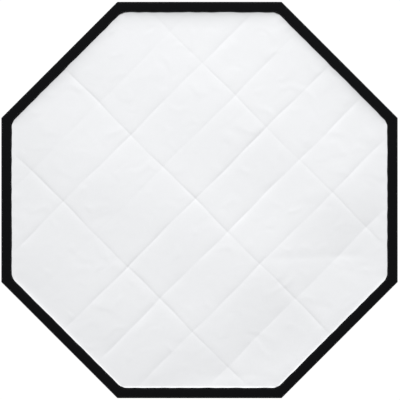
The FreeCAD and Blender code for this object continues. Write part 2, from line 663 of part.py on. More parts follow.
def knob_head():
    """The fluted plastic knob."""
    body = lock_cylinder(KNOB_R, KNOB_IN_R, KNOB_IN_R + KNOB_LENGTH)
    rims = [e for e in body.Edges if e.Curve.TypeId == "Part::GeomCircle"]
    body = body.makeFillet(KNOB_ROUNDING, rims)
    neck = lock_cylinder(KNOB_NECK_R, KNOB_IN_R - KNOB_NECK_LENGTH, KNOB_IN_R + 1)
    body = body.fuse(neck)
    centre = at(0, LOCK_DEPTH)
    for k in range(KNOB_FLUTES):
        a = math.radians(k * 360.0 / KNOB_FLUTES)
        out = KNOB_R + KNOB_FLUTE_R - KNOB_FLUTE_DEPTH
        foot = centre + Vector(out * math.cos(a), out * math.sin(a), KNOB_IN_R - 1)
        body = body.cut(Part.makeCylinder(KNOB_FLUTE_R, KNOB_LENGTH - KNOB_ROUNDING, foot, Vector(0, 0, 1)))
    body = body.cut(lock_cylinder(LOCK_STUD_R + SEAT_GAP, HOUSING_R, KNOB_IN_R + STUD_IN_KNOB + SEAT_GAP))
    return turned(body, LOCK_ANGLE)


# ---------------------------------------------------------------- write every node
def main():
    os.makedirs("parts", exist_ok=True)
    save("bayonet_insert", bayonet_insert())
    save("retaining_ring", retaining_ring())
    save("retaining_screws", *retaining_screws())
    save("ring_housing", ring_housing())
    save("glide_bush", glide_bush())
    save("rear_glide_washer", glide_washer(FLANGE_T + WASHER_GAP / 2))
    save("front_glide_washer", glide_washer(HOUSING_FRONT + WASHER_GAP / 2))
    save("socket_liners", *around(socket_liner()))
    save("lock_bush", lock_bush())
    save("brake_shoe", brake_shoe())
    save("lock_stud", lock_stud())
    save("lock_knob", knob_head())

    one_rod = rod()
    one_cap = rod_cap()
    one_gore = gore()
    for number, angle in enumerate(ROD_ANGLES, start=1):
        save(f"rod_{number}", turned(one_rod, angle))
        save(f"rod_cap_{number}", turned(one_cap, angle))
        save(f"gore_{number}", turned(one_gore, angle - HALF_STEP))
    save("corner_pockets", *around(corner_pocket()))
    save("rod_keepers", *[turned(k, a) for a in ROD_ANGLES for k in rod_keepers()])
    save("seam_tapes", *around(seam_tape()))
    save("rear_cuff", rear_cuff())
    save("cinch_strap", cinch_strap())
    save("cinch_buckle", cinch_buckle())
    save("front_lip", octagon_ring(FRONT_APOTHEM, LIP_WIDTH, LIP_BACK, LOOP_BACK))
    save("loop_tape", octagon_ring(FRONT_APOTHEM - TAPE_IN, TAPE_WIDTH, LOOP_BACK, LOOP_FRONT))
    save("hook_tape", octagon_ring(FRONT_APOTHEM - TAPE_IN, TAPE_WIDTH, HOOK_BACK, DIFFUSER_BACK))
    save("diffuser_cloth", octagon(FRONT_APOTHEM - DIFFUSER_IN, DIFFUSER_BACK, BAND_BACK))
    save("border_band", octagon_ring(FRONT_APOTHEM, BAND_WIDTH, BAND_BACK, DEPTH))

    baffle_apothem = BAFFLE_CORNER_R * COS_HALF
    hem_back = BAFFLE_DEPTH + BAFFLE_T
    hem_front = hem_back + BAFFLE_HEM_T
    save("baffle_cloth", octagon(baffle_apothem, BAFFLE_DEPTH, hem_back))
    save("baffle_hem", octagon_ring(baffle_apothem, BAFFLE_HEM_WIDTH, hem_back, hem_front))
    save("baffle_straps", *around(baffle_strap()))
    save("snap_sockets", *around(snap_socket()))
    save("snap_studs", *around(snap_stud()))
    save("shell_tabs", *around(shell_tab()))

    rod_length = BOSS_OUT + SOCKET_FLOOR + math.radians(ROD_TURN) * BEND_R
    tip = on_bend(0, ROD_TURN)
    print(f"bend radius {BEND_R:.1f}, rod turn {ROD_TURN:.1f} degrees, rod length {rod_length:.0f}")
    print(f"rod tip at radius {tip.z:.1f} and depth {-tip.y:.1f}")
    print(f"baffle corner at radius {BAFFLE_CORNER_R:.1f}")
    print(f"insert length {RETAINER_BACK:.2f}, tab radii {TAB_IN_R:.1f} to {TAB_OUT_R:.1f}")
    print(f"shoe from {SHOE_IN_R:.2f} to {SHOE_OUT_R:.2f}, knob from {KNOB_IN_R:.2f}")


main()
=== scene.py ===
# %% [markdown]
# # An octagonal studio softbox
# A softbox turns a hard studio flash into soft window light. Eight sprung rods stretch a black fabric shell,
# and a white cloth closes its front. Everything hangs on a metal ring that the lamp holds.
#
# The hard parts (ring, rods, knob, screws) come from the CAD model and stay exactly as they are. This lesson
# gives them their finishes, and makes every soft part: cloth, tape, webbing, elastic and the stitches.

# %% Load the frame
import math

import bmesh
import bpy
import numpy as np
from mathutils import Matrix, Vector, noise


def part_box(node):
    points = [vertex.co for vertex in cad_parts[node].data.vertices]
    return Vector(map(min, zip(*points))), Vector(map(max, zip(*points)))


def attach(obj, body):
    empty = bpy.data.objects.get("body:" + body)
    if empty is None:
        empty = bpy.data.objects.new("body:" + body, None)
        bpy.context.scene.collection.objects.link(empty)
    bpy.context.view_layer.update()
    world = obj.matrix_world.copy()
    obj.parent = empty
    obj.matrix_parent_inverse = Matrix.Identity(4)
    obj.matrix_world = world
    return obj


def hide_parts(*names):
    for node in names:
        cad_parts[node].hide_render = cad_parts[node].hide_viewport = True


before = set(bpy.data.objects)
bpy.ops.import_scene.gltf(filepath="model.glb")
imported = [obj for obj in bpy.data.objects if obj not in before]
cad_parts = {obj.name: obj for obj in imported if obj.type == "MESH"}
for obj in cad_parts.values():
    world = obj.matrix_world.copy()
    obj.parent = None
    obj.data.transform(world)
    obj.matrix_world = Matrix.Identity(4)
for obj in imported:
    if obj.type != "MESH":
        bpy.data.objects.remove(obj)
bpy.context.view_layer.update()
print("nodes:", len(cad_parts))

# %% [markdown]
# ## Sizes that the whole lesson shares
# Blender works in metres here, and the frame's origin is where the lamp seats. +Y goes back to the lamp, so
# the front of the softbox is at the lowest Y.

# %% Read the sizes from the frame
MM = 0.001
SIDES = 8
STEP = 2 * math.pi / SIDES
HALF = STEP / 2
COS_HALF = math.cos(HALF)
TAN_HALF = math.tan(HALF)

band_low, band_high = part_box("border_band")
FRONT_HALF = band_high.x               # half the distance across the front's flats
FRONT_Y = band_low.y                   # the very front
CLOTH_FRONT_Y = band_high.y            # front face of the diffuser cloth
LIP_BACK_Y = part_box("front_lip")[1].y
BAND_WIDTH = 25 * MM
print("across the flats", round(2 * FRONT_HALF, 4), "m; depth", round(-FRONT_Y, 4), "m")

# %% [markdown]
# ## Small tools
# A mesh in Blender is a list of corner points and a list of faces that name them. `grid_piece` makes a
# surface from rows of points, which suits cloth: cloth is woven in rows too. It also lays a UV map in
# metres, so that a weave keeps its real size on every piece.

# %% Tools for meshes
def new_piece(name, points, faces, uvs=None, materials=()):
    """A mesh object at the origin, with an optional UV for each point."""
    mesh = bpy.data.meshes.new(name)
    mesh.from_pydata([tuple(p) for p in points], [], faces)
    if uvs is not None:
        layer = mesh.uv_layers.new(name="cloth")
        for loop in mesh.loops:
            layer.data[loop.index].uv = uvs[loop.vertex_index]
    for material in materials:
        mesh.materials.append(material)
    mesh.polygons.foreach_set("use_smooth", [True] * len(mesh.polygons))
    piece = bpy.data.objects.new(name, mesh)
    bpy.context.scene.collection.objects.link(piece)
    return piece


def grid_faces(rows, columns, close_rows=False, close_columns=False, start=0):
    """The faces between rows of points, each row closed into a ring if asked."""
    faces = []
    for i in range(rows if close_rows else rows - 1):
        for j in range(columns if close_columns else columns - 1):
            a, b = i * columns, (i + 1) % rows * columns
            k = (j + 1) % columns
            faces.append((start + a + j, start + a + k, start + b + k, start + b + j))
    return faces


def grid_piece(name, rows, uv_rows=None, close_rows=False, close_columns=False, materials=()):
    """A surface through rows of points."""
    points = [p for row in rows for p in row]
    uvs = None if uv_rows is None else [uv for row in uv_rows for uv in row]
    faces = grid_faces(len(rows), len(rows[0]), close_rows, close_columns)
    return new_piece(name, points, faces, uvs, materials)


def turn(point, angle):
    """A point turned about the Y axis, from +Z towards +X."""
    c, s = math.cos(angle), math.sin(angle)
    return Vector((point[0] * c + point[2] * s, point[1], -point[0] * s + point[2] * c))


def smooth(t):
    """0 to 1 with a soft start and end."""
    t = min(max(t, 0.0), 1.0)
    return t * t * (3 - 2 * t)


def set_outward(piece, sign=1):
    """Turns a mesh's faces so that a closed shape's face outwards."""
    bm = bmesh.new()
    bm.from_mesh(piece.data)
    bmesh.ops.recalc_face_normals(bm, faces=bm.faces)
    if sign < 0:
        bmesh.ops.reverse_faces(bm, faces=bm.faces)
    bm.to_mesh(piece.data)
    bm.free()


def thicken(piece, thickness, offset, **material_offsets):
    """A Solidify modifier that gives a sheet its real thickness."""
    wall = piece.modifiers.new("thickness", "SOLIDIFY")
    wall.thickness = thickness
    wall.offset = offset
    wall.use_even_offset = False
    for name, value in material_offsets.items():
        setattr(wall, name, value)
    return wall


print("tools ready")

# %% [markdown]
# ## Node tools
# Materials and Geometry Nodes are both made of nodes joined by links. `Board` keeps the writing short: it
# adds a node, sets its values and joins its inputs in one call. A group is a board with named inputs and
# outputs, which any material can place like a single node.

# %% Tools for nodes
class Board:
    """A node tree that is filled from code."""

    def __init__(self, tree):
        self.tree = tree

    def add(self, kind, values=None, **links):
        """A node with its settings in values, and its inputs from numbers or from other nodes' outputs."""
        node = self.tree.nodes.new(kind)
        for name, value in (values or {}).items():
            setattr(node, name, value)
        for name, value in links.items():
            key = int(name[1:]) if name[0] == "i" and name[1:].isdigit() else name.replace("_", " ")
            socket = node.inputs[key]
            if isinstance(value, bpy.types.NodeSocket):
                self.tree.links.new(value, socket)
            else:
                socket.default_value = value
        return node

    def math(self, operation, *values):
        """A Math node's result."""
        links = {f"i{k}": v for k, v in enumerate(values)}
        return self.add("ShaderNodeMath", {"operation": operation}, **links).outputs[0]


def new_group(name, kind, inputs, outputs):
    """A node group with named sockets; inputs are (name, socket type, default)."""
    tree = bpy.data.node_groups.new(name, kind)
    for socket_name, socket_type, default in inputs:
        socket = tree.interface.new_socket(socket_name, in_out="INPUT", socket_type=socket_type)
        if default is not None:
            socket.default_value = default
    for socket_name, socket_type in outputs:
        tree.interface.new_socket(socket_name, in_out="OUTPUT", socket_type=socket_type)
    board = Board(tree)
    return board, board.add("NodeGroupInput"), board.add("NodeGroupOutput")


FLOAT = "NodeSocketFloat"
VECTOR = "NodeSocketVector"
print("node tools ready")

# %% [markdown]
# ## Shared surface effects
# Three effects turn up in many materials, so each is a group:
# - `plain_weave`: threads that pass over and under each other, and a painted shade that darkens them where
#   they dip
# - `grain`: the fine lumps of powder coat and moulded plastic
# - `rubbed`: a mask of pale wear patches
# A group gives out only numbers. The shader that uses them stays in the material, where it can be tuned.

# %% The weave group
board, given, out = new_group(
    "plain_weave",
    "ShaderNodeTree",
    [("Vector", VECTOR, None), ("Pitch", FLOAT, 0.0006), ("Looseness", FLOAT, 0.15)],
    [("Height", FLOAT), ("Shade", FLOAT)],
)
parts = board.add("ShaderNodeSeparateXYZ", Vector=given.outputs["Vector"])
along = board.math("MULTIPLY", board.math("DIVIDE", parts.outputs["X"], given.outputs["Pitch"]), math.pi)
across = board.math("MULTIPLY", board.math("DIVIDE", parts.outputs["Y"], given.outputs["Pitch"]), math.pi)
wave_a = board.math("SINE", along)
wave_b = board.math("SINE", across)
warp = board.math("ABSOLUTE", wave_a)
weft = board.math("ABSOLUTE", wave_b)
over = board.math("GREATER_THAN", board.math("MULTIPLY", wave_a, wave_b), 0.0)
mixed = board.add("ShaderNodeMix", {"data_type": "FLOAT"}, i0=over, i2=warp, i3=weft)
slub = board.add("ShaderNodeTexNoise", Vector=given.outputs["Vector"], Scale=90.0, Detail=2.0)
loose = board.math("MULTIPLY", slub.outputs["Fac"], given.outputs["Looseness"])
height = board.math("ADD", mixed.outputs[0], loose)
board.tree.links.new(height, out.inputs["Height"])
# Shade is painted shade: the height turned into a colour factor, darker where the threads dip under each
# other
board.tree.links.new(board.math("MULTIPLY_ADD", height, 0.3, 0.75), out.inputs["Shade"])
print("plain_weave:", len(board.tree.nodes), "nodes")

# %% The grain group
board, given, out = new_group(
    "grain",
    "ShaderNodeTree",
    [("Vector", VECTOR, None), ("Size", FLOAT, 0.0008), ("Spread", FLOAT, 0.1)],
    [("Height", FLOAT), ("Roughness", FLOAT)],
)
scale = board.math("DIVIDE", 1.0, given.outputs["Size"])
lumps = board.add("ShaderNodeTexNoise", Vector=given.outputs["Vector"], Scale=scale, Detail=3.0)
patches = board.add("ShaderNodeTexNoise", Vector=given.outputs["Vector"], Scale=28.0, Detail=4.0)
swing = board.math("SUBTRACT", patches.outputs["Fac"], 0.5)
board.tree.links.new(lumps.outputs["Fac"], out.inputs["Height"])
board.tree.links.new(board.math("MULTIPLY", swing, given.outputs["Spread"]), out.inputs["Roughness"])
print("grain:", len(board.tree.nodes), "nodes")

# %% The wear group
board, given, out = new_group(
    "rubbed",
    "ShaderNodeTree",
    [("Vector", VECTOR, None), ("Amount", FLOAT, 0.3), ("Size", FLOAT, 0.01)],
    [("Mask", FLOAT)],
)
scale = board.math("DIVIDE", 1.0, given.outputs["Size"])
spots = board.add(
    "ShaderNodeTexNoise", Vector=given.outputs["Vector"], Scale=scale, Detail=6.0, Roughness=0.7
)
level = board.math("SUBTRACT", 1.0, given.outputs["Amount"])
cut = board.add(
    "ShaderNodeMapRange", {"clamp": True}, Value=spots.outputs["Fac"], From_Min=level, From_Max=1.0
)
board.tree.links.new(cut.outputs["Result"], out.inputs["Mask"])
print("rubbed:", len(board.tree.nodes), "nodes")

# %% [markdown]
# ## Finishes
# Each material starts from one Principled shader. Cloth gets a weave on its own UV map, so that the threads
# run along the piece and turn with it. Metal and plastic get grain on Object coordinates, which works for
# CAD meshes that have no UV map. A number that is the same all over goes straight on the shader's socket.

# %% Tools for materials
def new_material(name, color, roughness, metallic=0.0, **sockets):
    """A material with one Principled shader; returns the material, its board and the shader."""
    material = bpy.data.materials.new(name)
    material.use_nodes = True
    material.node_tree.nodes.clear()
    work = Board(material.node_tree)
    shader = work.add("ShaderNodeBsdfPrincipled")
    shader.inputs["Base Color"].default_value = (*color, 1.0)
    shader.inputs["Roughness"].default_value = roughness
    shader.inputs["Metallic"].default_value = metallic
    for key, value in sockets.items():
        shader.inputs[key.replace("_", " ")].default_value = value
    work.add("ShaderNodeOutputMaterial", Surface=shader.outputs[0])
    return material, work, shader


def place_group(work, group, **links):
    """Places a shared group in a material."""
    node = work.add("ShaderNodeGroup", {"node_tree": bpy.data.node_groups[group]})
    for name, value in links.items():
        socket = node.inputs[name]
        if isinstance(value, bpy.types.NodeSocket):
            work.tree.links.new(value, socket)
        else:
            socket.default_value = value
    return node


def relief(work, shader, height, distance, strength=1.0):
    """Joins a height to the shader's normal."""
    bump = work.add("ShaderNodeBump", Height=height, Distance=distance, Strength=strength)
    work.tree.links.new(bump.outputs[0], shader.inputs["Normal"])


def tint(work, shader, color, factor, low=0.8, high=1.1):
    """Makes the colour a little darker and lighter where the factor says."""
    ramp = work.add("ShaderNodeMapRange", Value=factor, To_Min=low, To_Max=high)
    scaled = work.add("ShaderNodeVectorMath", {"operation": "SCALE"}, i0=color, Scale=ramp.outputs[0])
    work.tree.links.new(scaled.outputs[0], shader.inputs["Base Color"])


def cloth_material(name, color, roughness, pitch, depth, spread=0.12, crumple=(20, 0.0), **sockets):
    """A woven material; pitch is the distance between threads, depth how far they stand out.

    crumple is how many small creases there are in a metre, and how deep they are.
    """
    material, work, shader = new_material(name, color, roughness, **sockets)
    uv = work.add("ShaderNodeUVMap", {"uv_map": "cloth"}).outputs[0]
    weave = place_group(work, "plain_weave", Vector=uv, Pitch=pitch)
    creases, crease_depth = crumple
    ridges = work.add(
        "ShaderNodeTexNoise", {"noise_type": "RIDGED_MULTIFRACTAL"},
        Vector=uv, Scale=creases, Detail=2.5, Distortion=0.6,
    )
    raised = work.math("MULTIPLY", ridges.outputs["Fac"], crease_depth)
    relief(work, shader, work.math("MULTIPLY_ADD", weave.outputs["Height"], depth, raised), 1.0, 0.8)
    # The colour mixes the weave's painted shade, darker where the threads dip, with a random mottle
    mottle = work.add("ShaderNodeTexNoise", Vector=uv, Scale=7.0, Detail=4.0)
    mixed = work.math("MULTIPLY", weave.outputs["Shade"], mottle.outputs["Fac"])
    tint(work, shader, color, mixed, 1.0 - spread, 1.0 + spread)
    return material


def hard_material(name, color, roughness, metallic, size, depth, wear=None, **sockets):
    """A grainy metal or plastic; wear is (amount, size, colour) of rubbed places."""
    material, work, shader = new_material(name, color, roughness, metallic, **sockets)
    place = work.add("ShaderNodeTexCoord").outputs["Object"]
    fine = place_group(work, "grain", Vector=place, Size=size)
    rough = work.math("ADD", fine.outputs["Roughness"], roughness)
    work.tree.links.new(rough, shader.inputs["Roughness"])
    relief(work, shader, fine.outputs["Height"], depth, 0.5)
    if wear:
        amount, wear_size, pale = wear
        mask = place_group(work, "rubbed", Vector=place, Amount=amount, Size=wear_size).outputs["Mask"]
        mix = work.add("ShaderNodeMix", {"data_type": "RGBA"}, i0=mask, i6=(*color, 1), i7=(*pale, 1))
        work.tree.links.new(mix.outputs[2], shader.inputs["Base Color"])
    return material


print("material tools ready")

# %% Cloth, tape and thread
diffuser_white = cloth_material(
    "diffuser_white", (0.86, 0.868, 0.884), 0.9, 0.5 * MM, 0.03 * MM, 0.012, (21, 0.85 * MM),
    Specular_IOR_Level=0.2,
)
baffle_white = cloth_material("baffle_white", (0.82, 0.83, 0.84), 0.85, 0.5 * MM, 0.04 * MM, 0.02)
shell_black = cloth_material(
    "shell_black", (0.012, 0.012, 0.013), 0.6, 0.55 * MM, 0.1 * MM, 0.25, (14, 1.2 * MM),
    Specular_IOR_Level=0.3,
)
band_black = cloth_material(
    "band_black", (0.0034, 0.0036, 0.0043), 0.75, 0.7 * MM, 0.15 * MM, 0.2, Specular_IOR_Level=0.07
)
webbing_black = cloth_material("webbing_black", (0.014, 0.014, 0.016), 0.7, 1.3 * MM, 0.3 * MM, 0.3)
elastic_black = cloth_material("elastic_black", (0.03, 0.03, 0.032), 0.85, 0.9 * MM, 0.25 * MM, 0.3)
binding_white = cloth_material("binding_white", (0.78, 0.78, 0.79), 0.8, 0.8 * MM, 0.12 * MM, 0.06)
print("cloth finishes ready")

# %% [markdown]
# The shell's inside is coated silver. The coating follows the threads under it and crackles a little where
# the cloth was folded, so its relief mixes the weave with broad, flat noise cells.

# %% Silver lining, fastener tape and thread
silver_lining, work, shader = new_material("silver_lining", (0.62, 0.63, 0.64), 0.32, 0.85)
uv = work.add("ShaderNodeUVMap", {"uv_map": "cloth"}).outputs[0]
weave = place_group(work, "plain_weave", Vector=uv, Pitch=0.55 * MM)
cells = work.add("ShaderNodeTexVoronoi", {"feature": "SMOOTH_F1"}, Vector=uv, Scale=38.0)
crackle = work.math("MULTIPLY_ADD", cells.outputs["Distance"], 6.0, weave.outputs["Height"])
relief(work, shader, crackle, 0.25 * MM, 0.6)
tint(work, shader, (0.62, 0.63, 0.64), cells.outputs["Distance"], 0.9, 1.05)


def pile_material(name, color, spacing, depth):
    """Hook or loop tape: a close field of small bumps, with painted shade between them."""
    material, work, shader = new_material(name, color, 0.9)
    uv = work.add("ShaderNodeUVMap", {"uv_map": "cloth"}).outputs[0]
    dots = work.add("ShaderNodeTexVoronoi", Vector=uv, Scale=1 / spacing)
    relief(work, shader, work.math("SUBTRACT", 1.0, dots.outputs["Distance"]), depth)
    # painted shade: the colour is lighter on the bumps' tops and darker in the gaps between them
    tint(work, shader, color, dots.outputs["Distance"], 1.2, 0.6)
    return material


loop_black = pile_material("loop_black", (0.016, 0.016, 0.017), 0.9 * MM, 0.5 * MM)
hook_black = pile_material("hook_black", (0.012, 0.012, 0.013), 1.4 * MM, 0.8 * MM)


def thread_material(name, color):
    """Twisted sewing thread, a little shiny."""
    material, work, shader = new_material(name, color, 0.5, Sheen_Weight=0.2)
    place = work.add("ShaderNodeTexCoord").outputs["Object"]
    twist = work.add("ShaderNodeTexNoise", Vector=place, Scale=2500.0)
    relief(work, shader, twist.outputs["Fac"], 0.1 * MM)
    tint(work, shader, color, twist.outputs["Fac"], 0.7, 1.3)
    return material


thread_black = thread_material("thread_black", (0.02, 0.02, 0.022))
thread_grey = thread_material("thread_grey", (0.06, 0.06, 0.062))
thread_white = thread_material("thread_white", (0.75, 0.75, 0.76))
print("lining, tape and thread ready")

# %% [markdown]
# The metal parts differ in how they were made: the housing is cast and powder coated, the insert is turned
# and left bare, and the rods are drawn wire. Turned metal has fine rings round its axis. The rings come from
# the distance to the Y axis, which is the axis the part was turned on.

# %% Metal and plastic
def turned_material(name, color, roughness, ring=0.25 * MM):
    """Bare metal with the fine rings of a lathe, round the Y axis."""
    material, work, shader = new_material(name, color, roughness, 1.0)
    place = work.add("ShaderNodeTexCoord").outputs["Object"]
    parts = work.add("ShaderNodeSeparateXYZ", Vector=place)
    flat = work.add("ShaderNodeCombineXYZ", X=parts.outputs["X"], Z=parts.outputs["Z"])
    radius = work.add("ShaderNodeVectorMath", {"operation": "LENGTH"}, i0=flat.outputs[0]).outputs["Value"]
    reach = work.math("ADD", radius, parts.outputs["Y"])
    rings = work.add("ShaderNodeTexNoise", {"noise_dimensions": "1D"}, W=reach, Scale=1 / ring, Detail=2.0)
    fine = place_group(work, "grain", Vector=place, Size=1.5 * MM)
    both = work.math("MULTIPLY_ADD", rings.outputs["Fac"], 0.7, fine.outputs["Height"])
    relief(work, shader, both, 0.03 * MM, 0.35)
    rough = work.math("MULTIPLY_ADD", rings.outputs["Fac"], 0.15, roughness)
    work.tree.links.new(rough, shader.inputs["Roughness"])
    scuffs = place_group(work, "rubbed", Vector=place, Amount=0.42, Size=12 * MM).outputs["Mask"]
    tint(work, shader, color, scuffs, 1.0, 0.7)
    return material


# name: (colour, roughness, metallic, grain size, grain depth, wear)
HARD_FINISHES = {
    "cast_black": ((0.018, 0.018, 0.02), 0.5, 0.0, 0.9 * MM, 0.12 * MM, (0.4, 14 * MM, (0.05, 0.05, 0.052))),
    "screw_steel": ((0.12, 0.12, 0.125), 0.35, 1.0, 0.5 * MM, 0.02 * MM, (0.5, 3 * MM, (0.4, 0.4, 0.4))),
    "bright_steel": ((0.56, 0.57, 0.58), 0.28, 1.0, 0.6 * MM, 0.01 * MM, None),
    "wire_steel": ((0.34, 0.35, 0.36), 0.38, 1.0, 1.2 * MM, 0.03 * MM, (0.45, 20 * MM, (0.2, 0.19, 0.18))),
    "turned_brass": ((0.66, 0.48, 0.2), 0.3, 1.0, 0.6 * MM, 0.02 * MM, None),
    "snap_nickel": ((0.7, 0.69, 0.66), 0.22, 1.0, 0.8 * MM, 0.01 * MM, (0.4, 4 * MM, (0.45, 0.44, 0.42))),
    "nylon_white": ((0.74, 0.72, 0.66), 0.45, 0.0, 1.0 * MM, 0.04 * MM, (0.4, 9 * MM, (0.6, 0.58, 0.52))),
    "knob_black": ((0.02, 0.02, 0.022), 0.42, 0.0, 0.35 * MM, 0.08 * MM, (0.42, 8 * MM, (0.04, 0.04, 0.042))),
    "cap_black": ((0.022, 0.022, 0.022), 0.3, 0.0, 1.5 * MM, 0.02 * MM, None),
}
finish = {name: hard_material(name, *values) for name, values in HARD_FINISHES.items()}
finish["bare_aluminium"] = turned_material("bare_aluminium", (0.62, 0.63, 0.64), 0.32)
finish["zinc_steel"] = turned_material("zinc_steel", (0.5, 0.51, 0.53), 0.35)

finish_of = {
    "bayonet_insert": "bare_aluminium", "retaining_ring": "zinc_steel", "retaining_screws": "screw_steel",
    "ring_housing": "cast_black", "glide_bush": "nylon_white", "rear_glide_washer": "nylon_white",
    "front_glide_washer": "nylon_white", "socket_liners": "nylon_white", "brake_shoe": "nylon_white",
    "lock_bush": "turned_brass", "lock_stud": "bright_steel", "lock_knob": "knob_black",
    "cinch_buckle": "knob_black", "snap_sockets": "snap_nickel", "snap_studs": "snap_nickel",
}
for number in range(1, SIDES + 1):
    finish_of[f"rod_{number}"] = "wire_steel"
    finish_of[f"rod_cap_{number}"] = "cap_black"


def paint_node(node, material):
    """Gives a CAD node its finish."""
    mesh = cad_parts[node].data
    if not mesh.materials:
        mesh.materials.append(material)
    for k in range(len(mesh.materials)):
        mesh.materials[k] = material


for node, name in finish_of.items():
    paint_node(node, finish[name])
print("finished", len(finish_of), "CAD nodes")

# %% [markdown]
# ## The stitch tree
# A sewn row is one stitch repeated hundreds of times, which is just what Geometry Nodes are for. The base is
# a plain line of edges with an `up` vector on each point. The tree turns the line into a curve, spaces points
# along it at the stitch length, and puts a small squashed sphere on each, lying along the row and facing up.
# Realize Instances makes it real geometry at the end, and Set Material gives it its thread.

# %% Build the stitch tree
stitch_tree = bpy.data.node_groups.new("stitch_row", "GeometryNodeTree")
face = stitch_tree.interface
face.new_socket("Geometry", in_out="INPUT", socket_type="NodeSocketGeometry")
for name, default in (("Spacing", 4 * MM), ("Length", 2.8 * MM), ("Thickness", 0.5 * MM), ("Lift", 0.1 * MM)):
    face.new_socket(name, in_out="INPUT", socket_type=FLOAT).default_value = default
face.new_socket("Unevenness", in_out="INPUT", socket_type=FLOAT).default_value = 0.12
face.new_socket("Seed", in_out="INPUT", socket_type="NodeSocketInt").default_value = 1
face.new_socket("Thread", in_out="INPUT", socket_type="NodeSocketMaterial")
face.new_socket("Geometry", in_out="OUTPUT", socket_type="NodeSocketGeometry")
board = Board(stitch_tree)
given = board.add("NodeGroupInput")
out = board.add("NodeGroupOutput")
line = board.add("GeometryNodeMeshToCurve", Mesh=given.outputs["Geometry"])
spaced = board.add(
    "GeometryNodeResampleCurve", {"mode": "LENGTH"}, Curve=line.outputs[0], Length=given.outputs["Spacing"]
)
up = board.add("GeometryNodeInputNamedAttribute", {"data_type": "FLOAT_VECTOR"}, Name="up")
tangent = board.add("GeometryNodeInputTangent")
aim = board.add(
    "FunctionNodeAxesToRotation", {"primary_axis": "X", "secondary_axis": "Z"},
    Primary_Axis=tangent.outputs[0], Secondary_Axis=up.outputs[0],
)
lifted = board.add(
    "ShaderNodeVectorMath", {"operation": "SCALE"}, i0=up.outputs[0], Scale=given.outputs["Lift"]
)
raised = board.add("GeometryNodeSetPosition", Geometry=spaced.outputs[0], Offset=lifted.outputs[0])
bead = board.add("GeometryNodeMeshUVSphere", Segments=6, Rings=4, Radius=0.5)
thick = given.outputs["Thickness"]
size = board.add("ShaderNodeCombineXYZ", X=given.outputs["Length"], Y=thick, Z=thick)
stitch = board.add("GeometryNodeTransform", Geometry=bead.outputs["Mesh"], Scale=size.outputs[0])
low = board.math("SUBTRACT", 1.0, given.outputs["Unevenness"])
high = board.math("ADD", 1.0, given.outputs["Unevenness"])
uneven = board.add(
    "FunctionNodeRandomValue", {"data_type": "FLOAT"}, i2=low, i3=high, Seed=given.outputs["Seed"]
)
sewn = board.add(
    "GeometryNodeInstanceOnPoints", Points=raised.outputs[0], Instance=stitch.outputs[0],
    Rotation=aim.outputs[0], Scale=uneven.outputs[1],
)
real = board.add("GeometryNodeRealizeInstances", Geometry=sewn.outputs[0])
threaded = board.add("GeometryNodeSetMaterial", Geometry=real.outputs[0], Material=given.outputs["Thread"])
stitch_tree.links.new(threaded.outputs[0], out.inputs[0])
print("stitch_row:", len(stitch_tree.nodes), "nodes")

# %% [markdown]
# A modifier keeps a tree's inputs under hidden identifiers, so `run_tree` looks each one up by its name. The
# result is copied into a plain mesh, and the base object with its modifier is thrown away.

# %% Run a tree on a base
def run_tree(name, tree, base, **inputs):
    """The tree's result on the base as a plain mesh object; the base is removed."""
    modifier = base.modifiers.new("tree", "NODES")
    modifier.node_group = tree
    keys = {s.name: s.identifier for s in tree.interface.items_tree if s.in_out == "INPUT"}
    for key, value in inputs.items():
        modifier[keys[key.replace("_", " ")]] = value
    base.update_tag()
    bpy.context.view_layer.update()
    made = base.evaluated_get(bpy.context.evaluated_depsgraph_get())
    mesh = bpy.data.meshes.new_from_object(made)
    mesh.name = name
    piece = bpy.data.objects.new(name, mesh)
    bpy.context.scene.collection.objects.link(piece)
    bpy.data.objects.remove(base)
    return piece


def sew(name, lines, thread, body, slot, **inputs):
    """Rows of stitches; each line is a list of (point, up)."""
    points = [p for line in lines for p, _ in line]
    ups = [u for line in lines for _, u in line]
    edges = []
    start = 0
    for row in lines:
        edges += [(start + k, start + k + 1) for k in range(len(row) - 1)]
        start += len(row)
    mesh = bpy.data.meshes.new(name + "_lines")
    mesh.from_pydata([tuple(p) for p in points], edges, [])
    attribute = mesh.attributes.new("up", "FLOAT_VECTOR", "POINT")
    attribute.data.foreach_set("vector", [c for u in ups for c in u])
    base = bpy.data.objects.new(name + "_base", mesh)
    bpy.context.scene.collection.objects.link(base)
    piece = run_tree(name, stitch_tree, base, Thread=thread, **inputs)
    piece.data.polygons.foreach_set("use_smooth", [True] * len(piece.data.polygons))
    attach(piece, body)
    print(name, len(piece.data.polygons), "faces")
    return piece


print("sewing tools ready")

# %% [markdown]
# ## The camera, the floor and the light
# The camera comes early, so that every later step can be looked at. It stands far off, straight in front,
# with a long lens. One square light stands high up and in front, and its beam is narrow, so that it fades a
# little towards the edges of the cloth. Light from all round fills in the rest.

# %% Camera and studio
LENS = 200.0
SENSOR = 36.0
VIEW_FILLED = 0.991                    # share of the view's width that the octagon fills
ASIDE = 0.00125                        # the camera stands this share of the view to the right
view_width = 2 * FRONT_HALF / VIEW_FILLED
distance = view_width * LENS / SENSOR
camera_data = bpy.data.cameras.new("camera")
camera_data.lens = LENS
camera_data.sensor_width = SENSOR
camera_data.clip_end = 50              # metres
camera = bpy.data.objects.new("camera", camera_data)
camera.location = (ASIDE * view_width, FRONT_Y - distance, 0)
camera.rotation_euler = (math.radians(90), 0, 0)
bpy.context.scene.collection.objects.link(camera)
bpy.context.scene.camera = camera

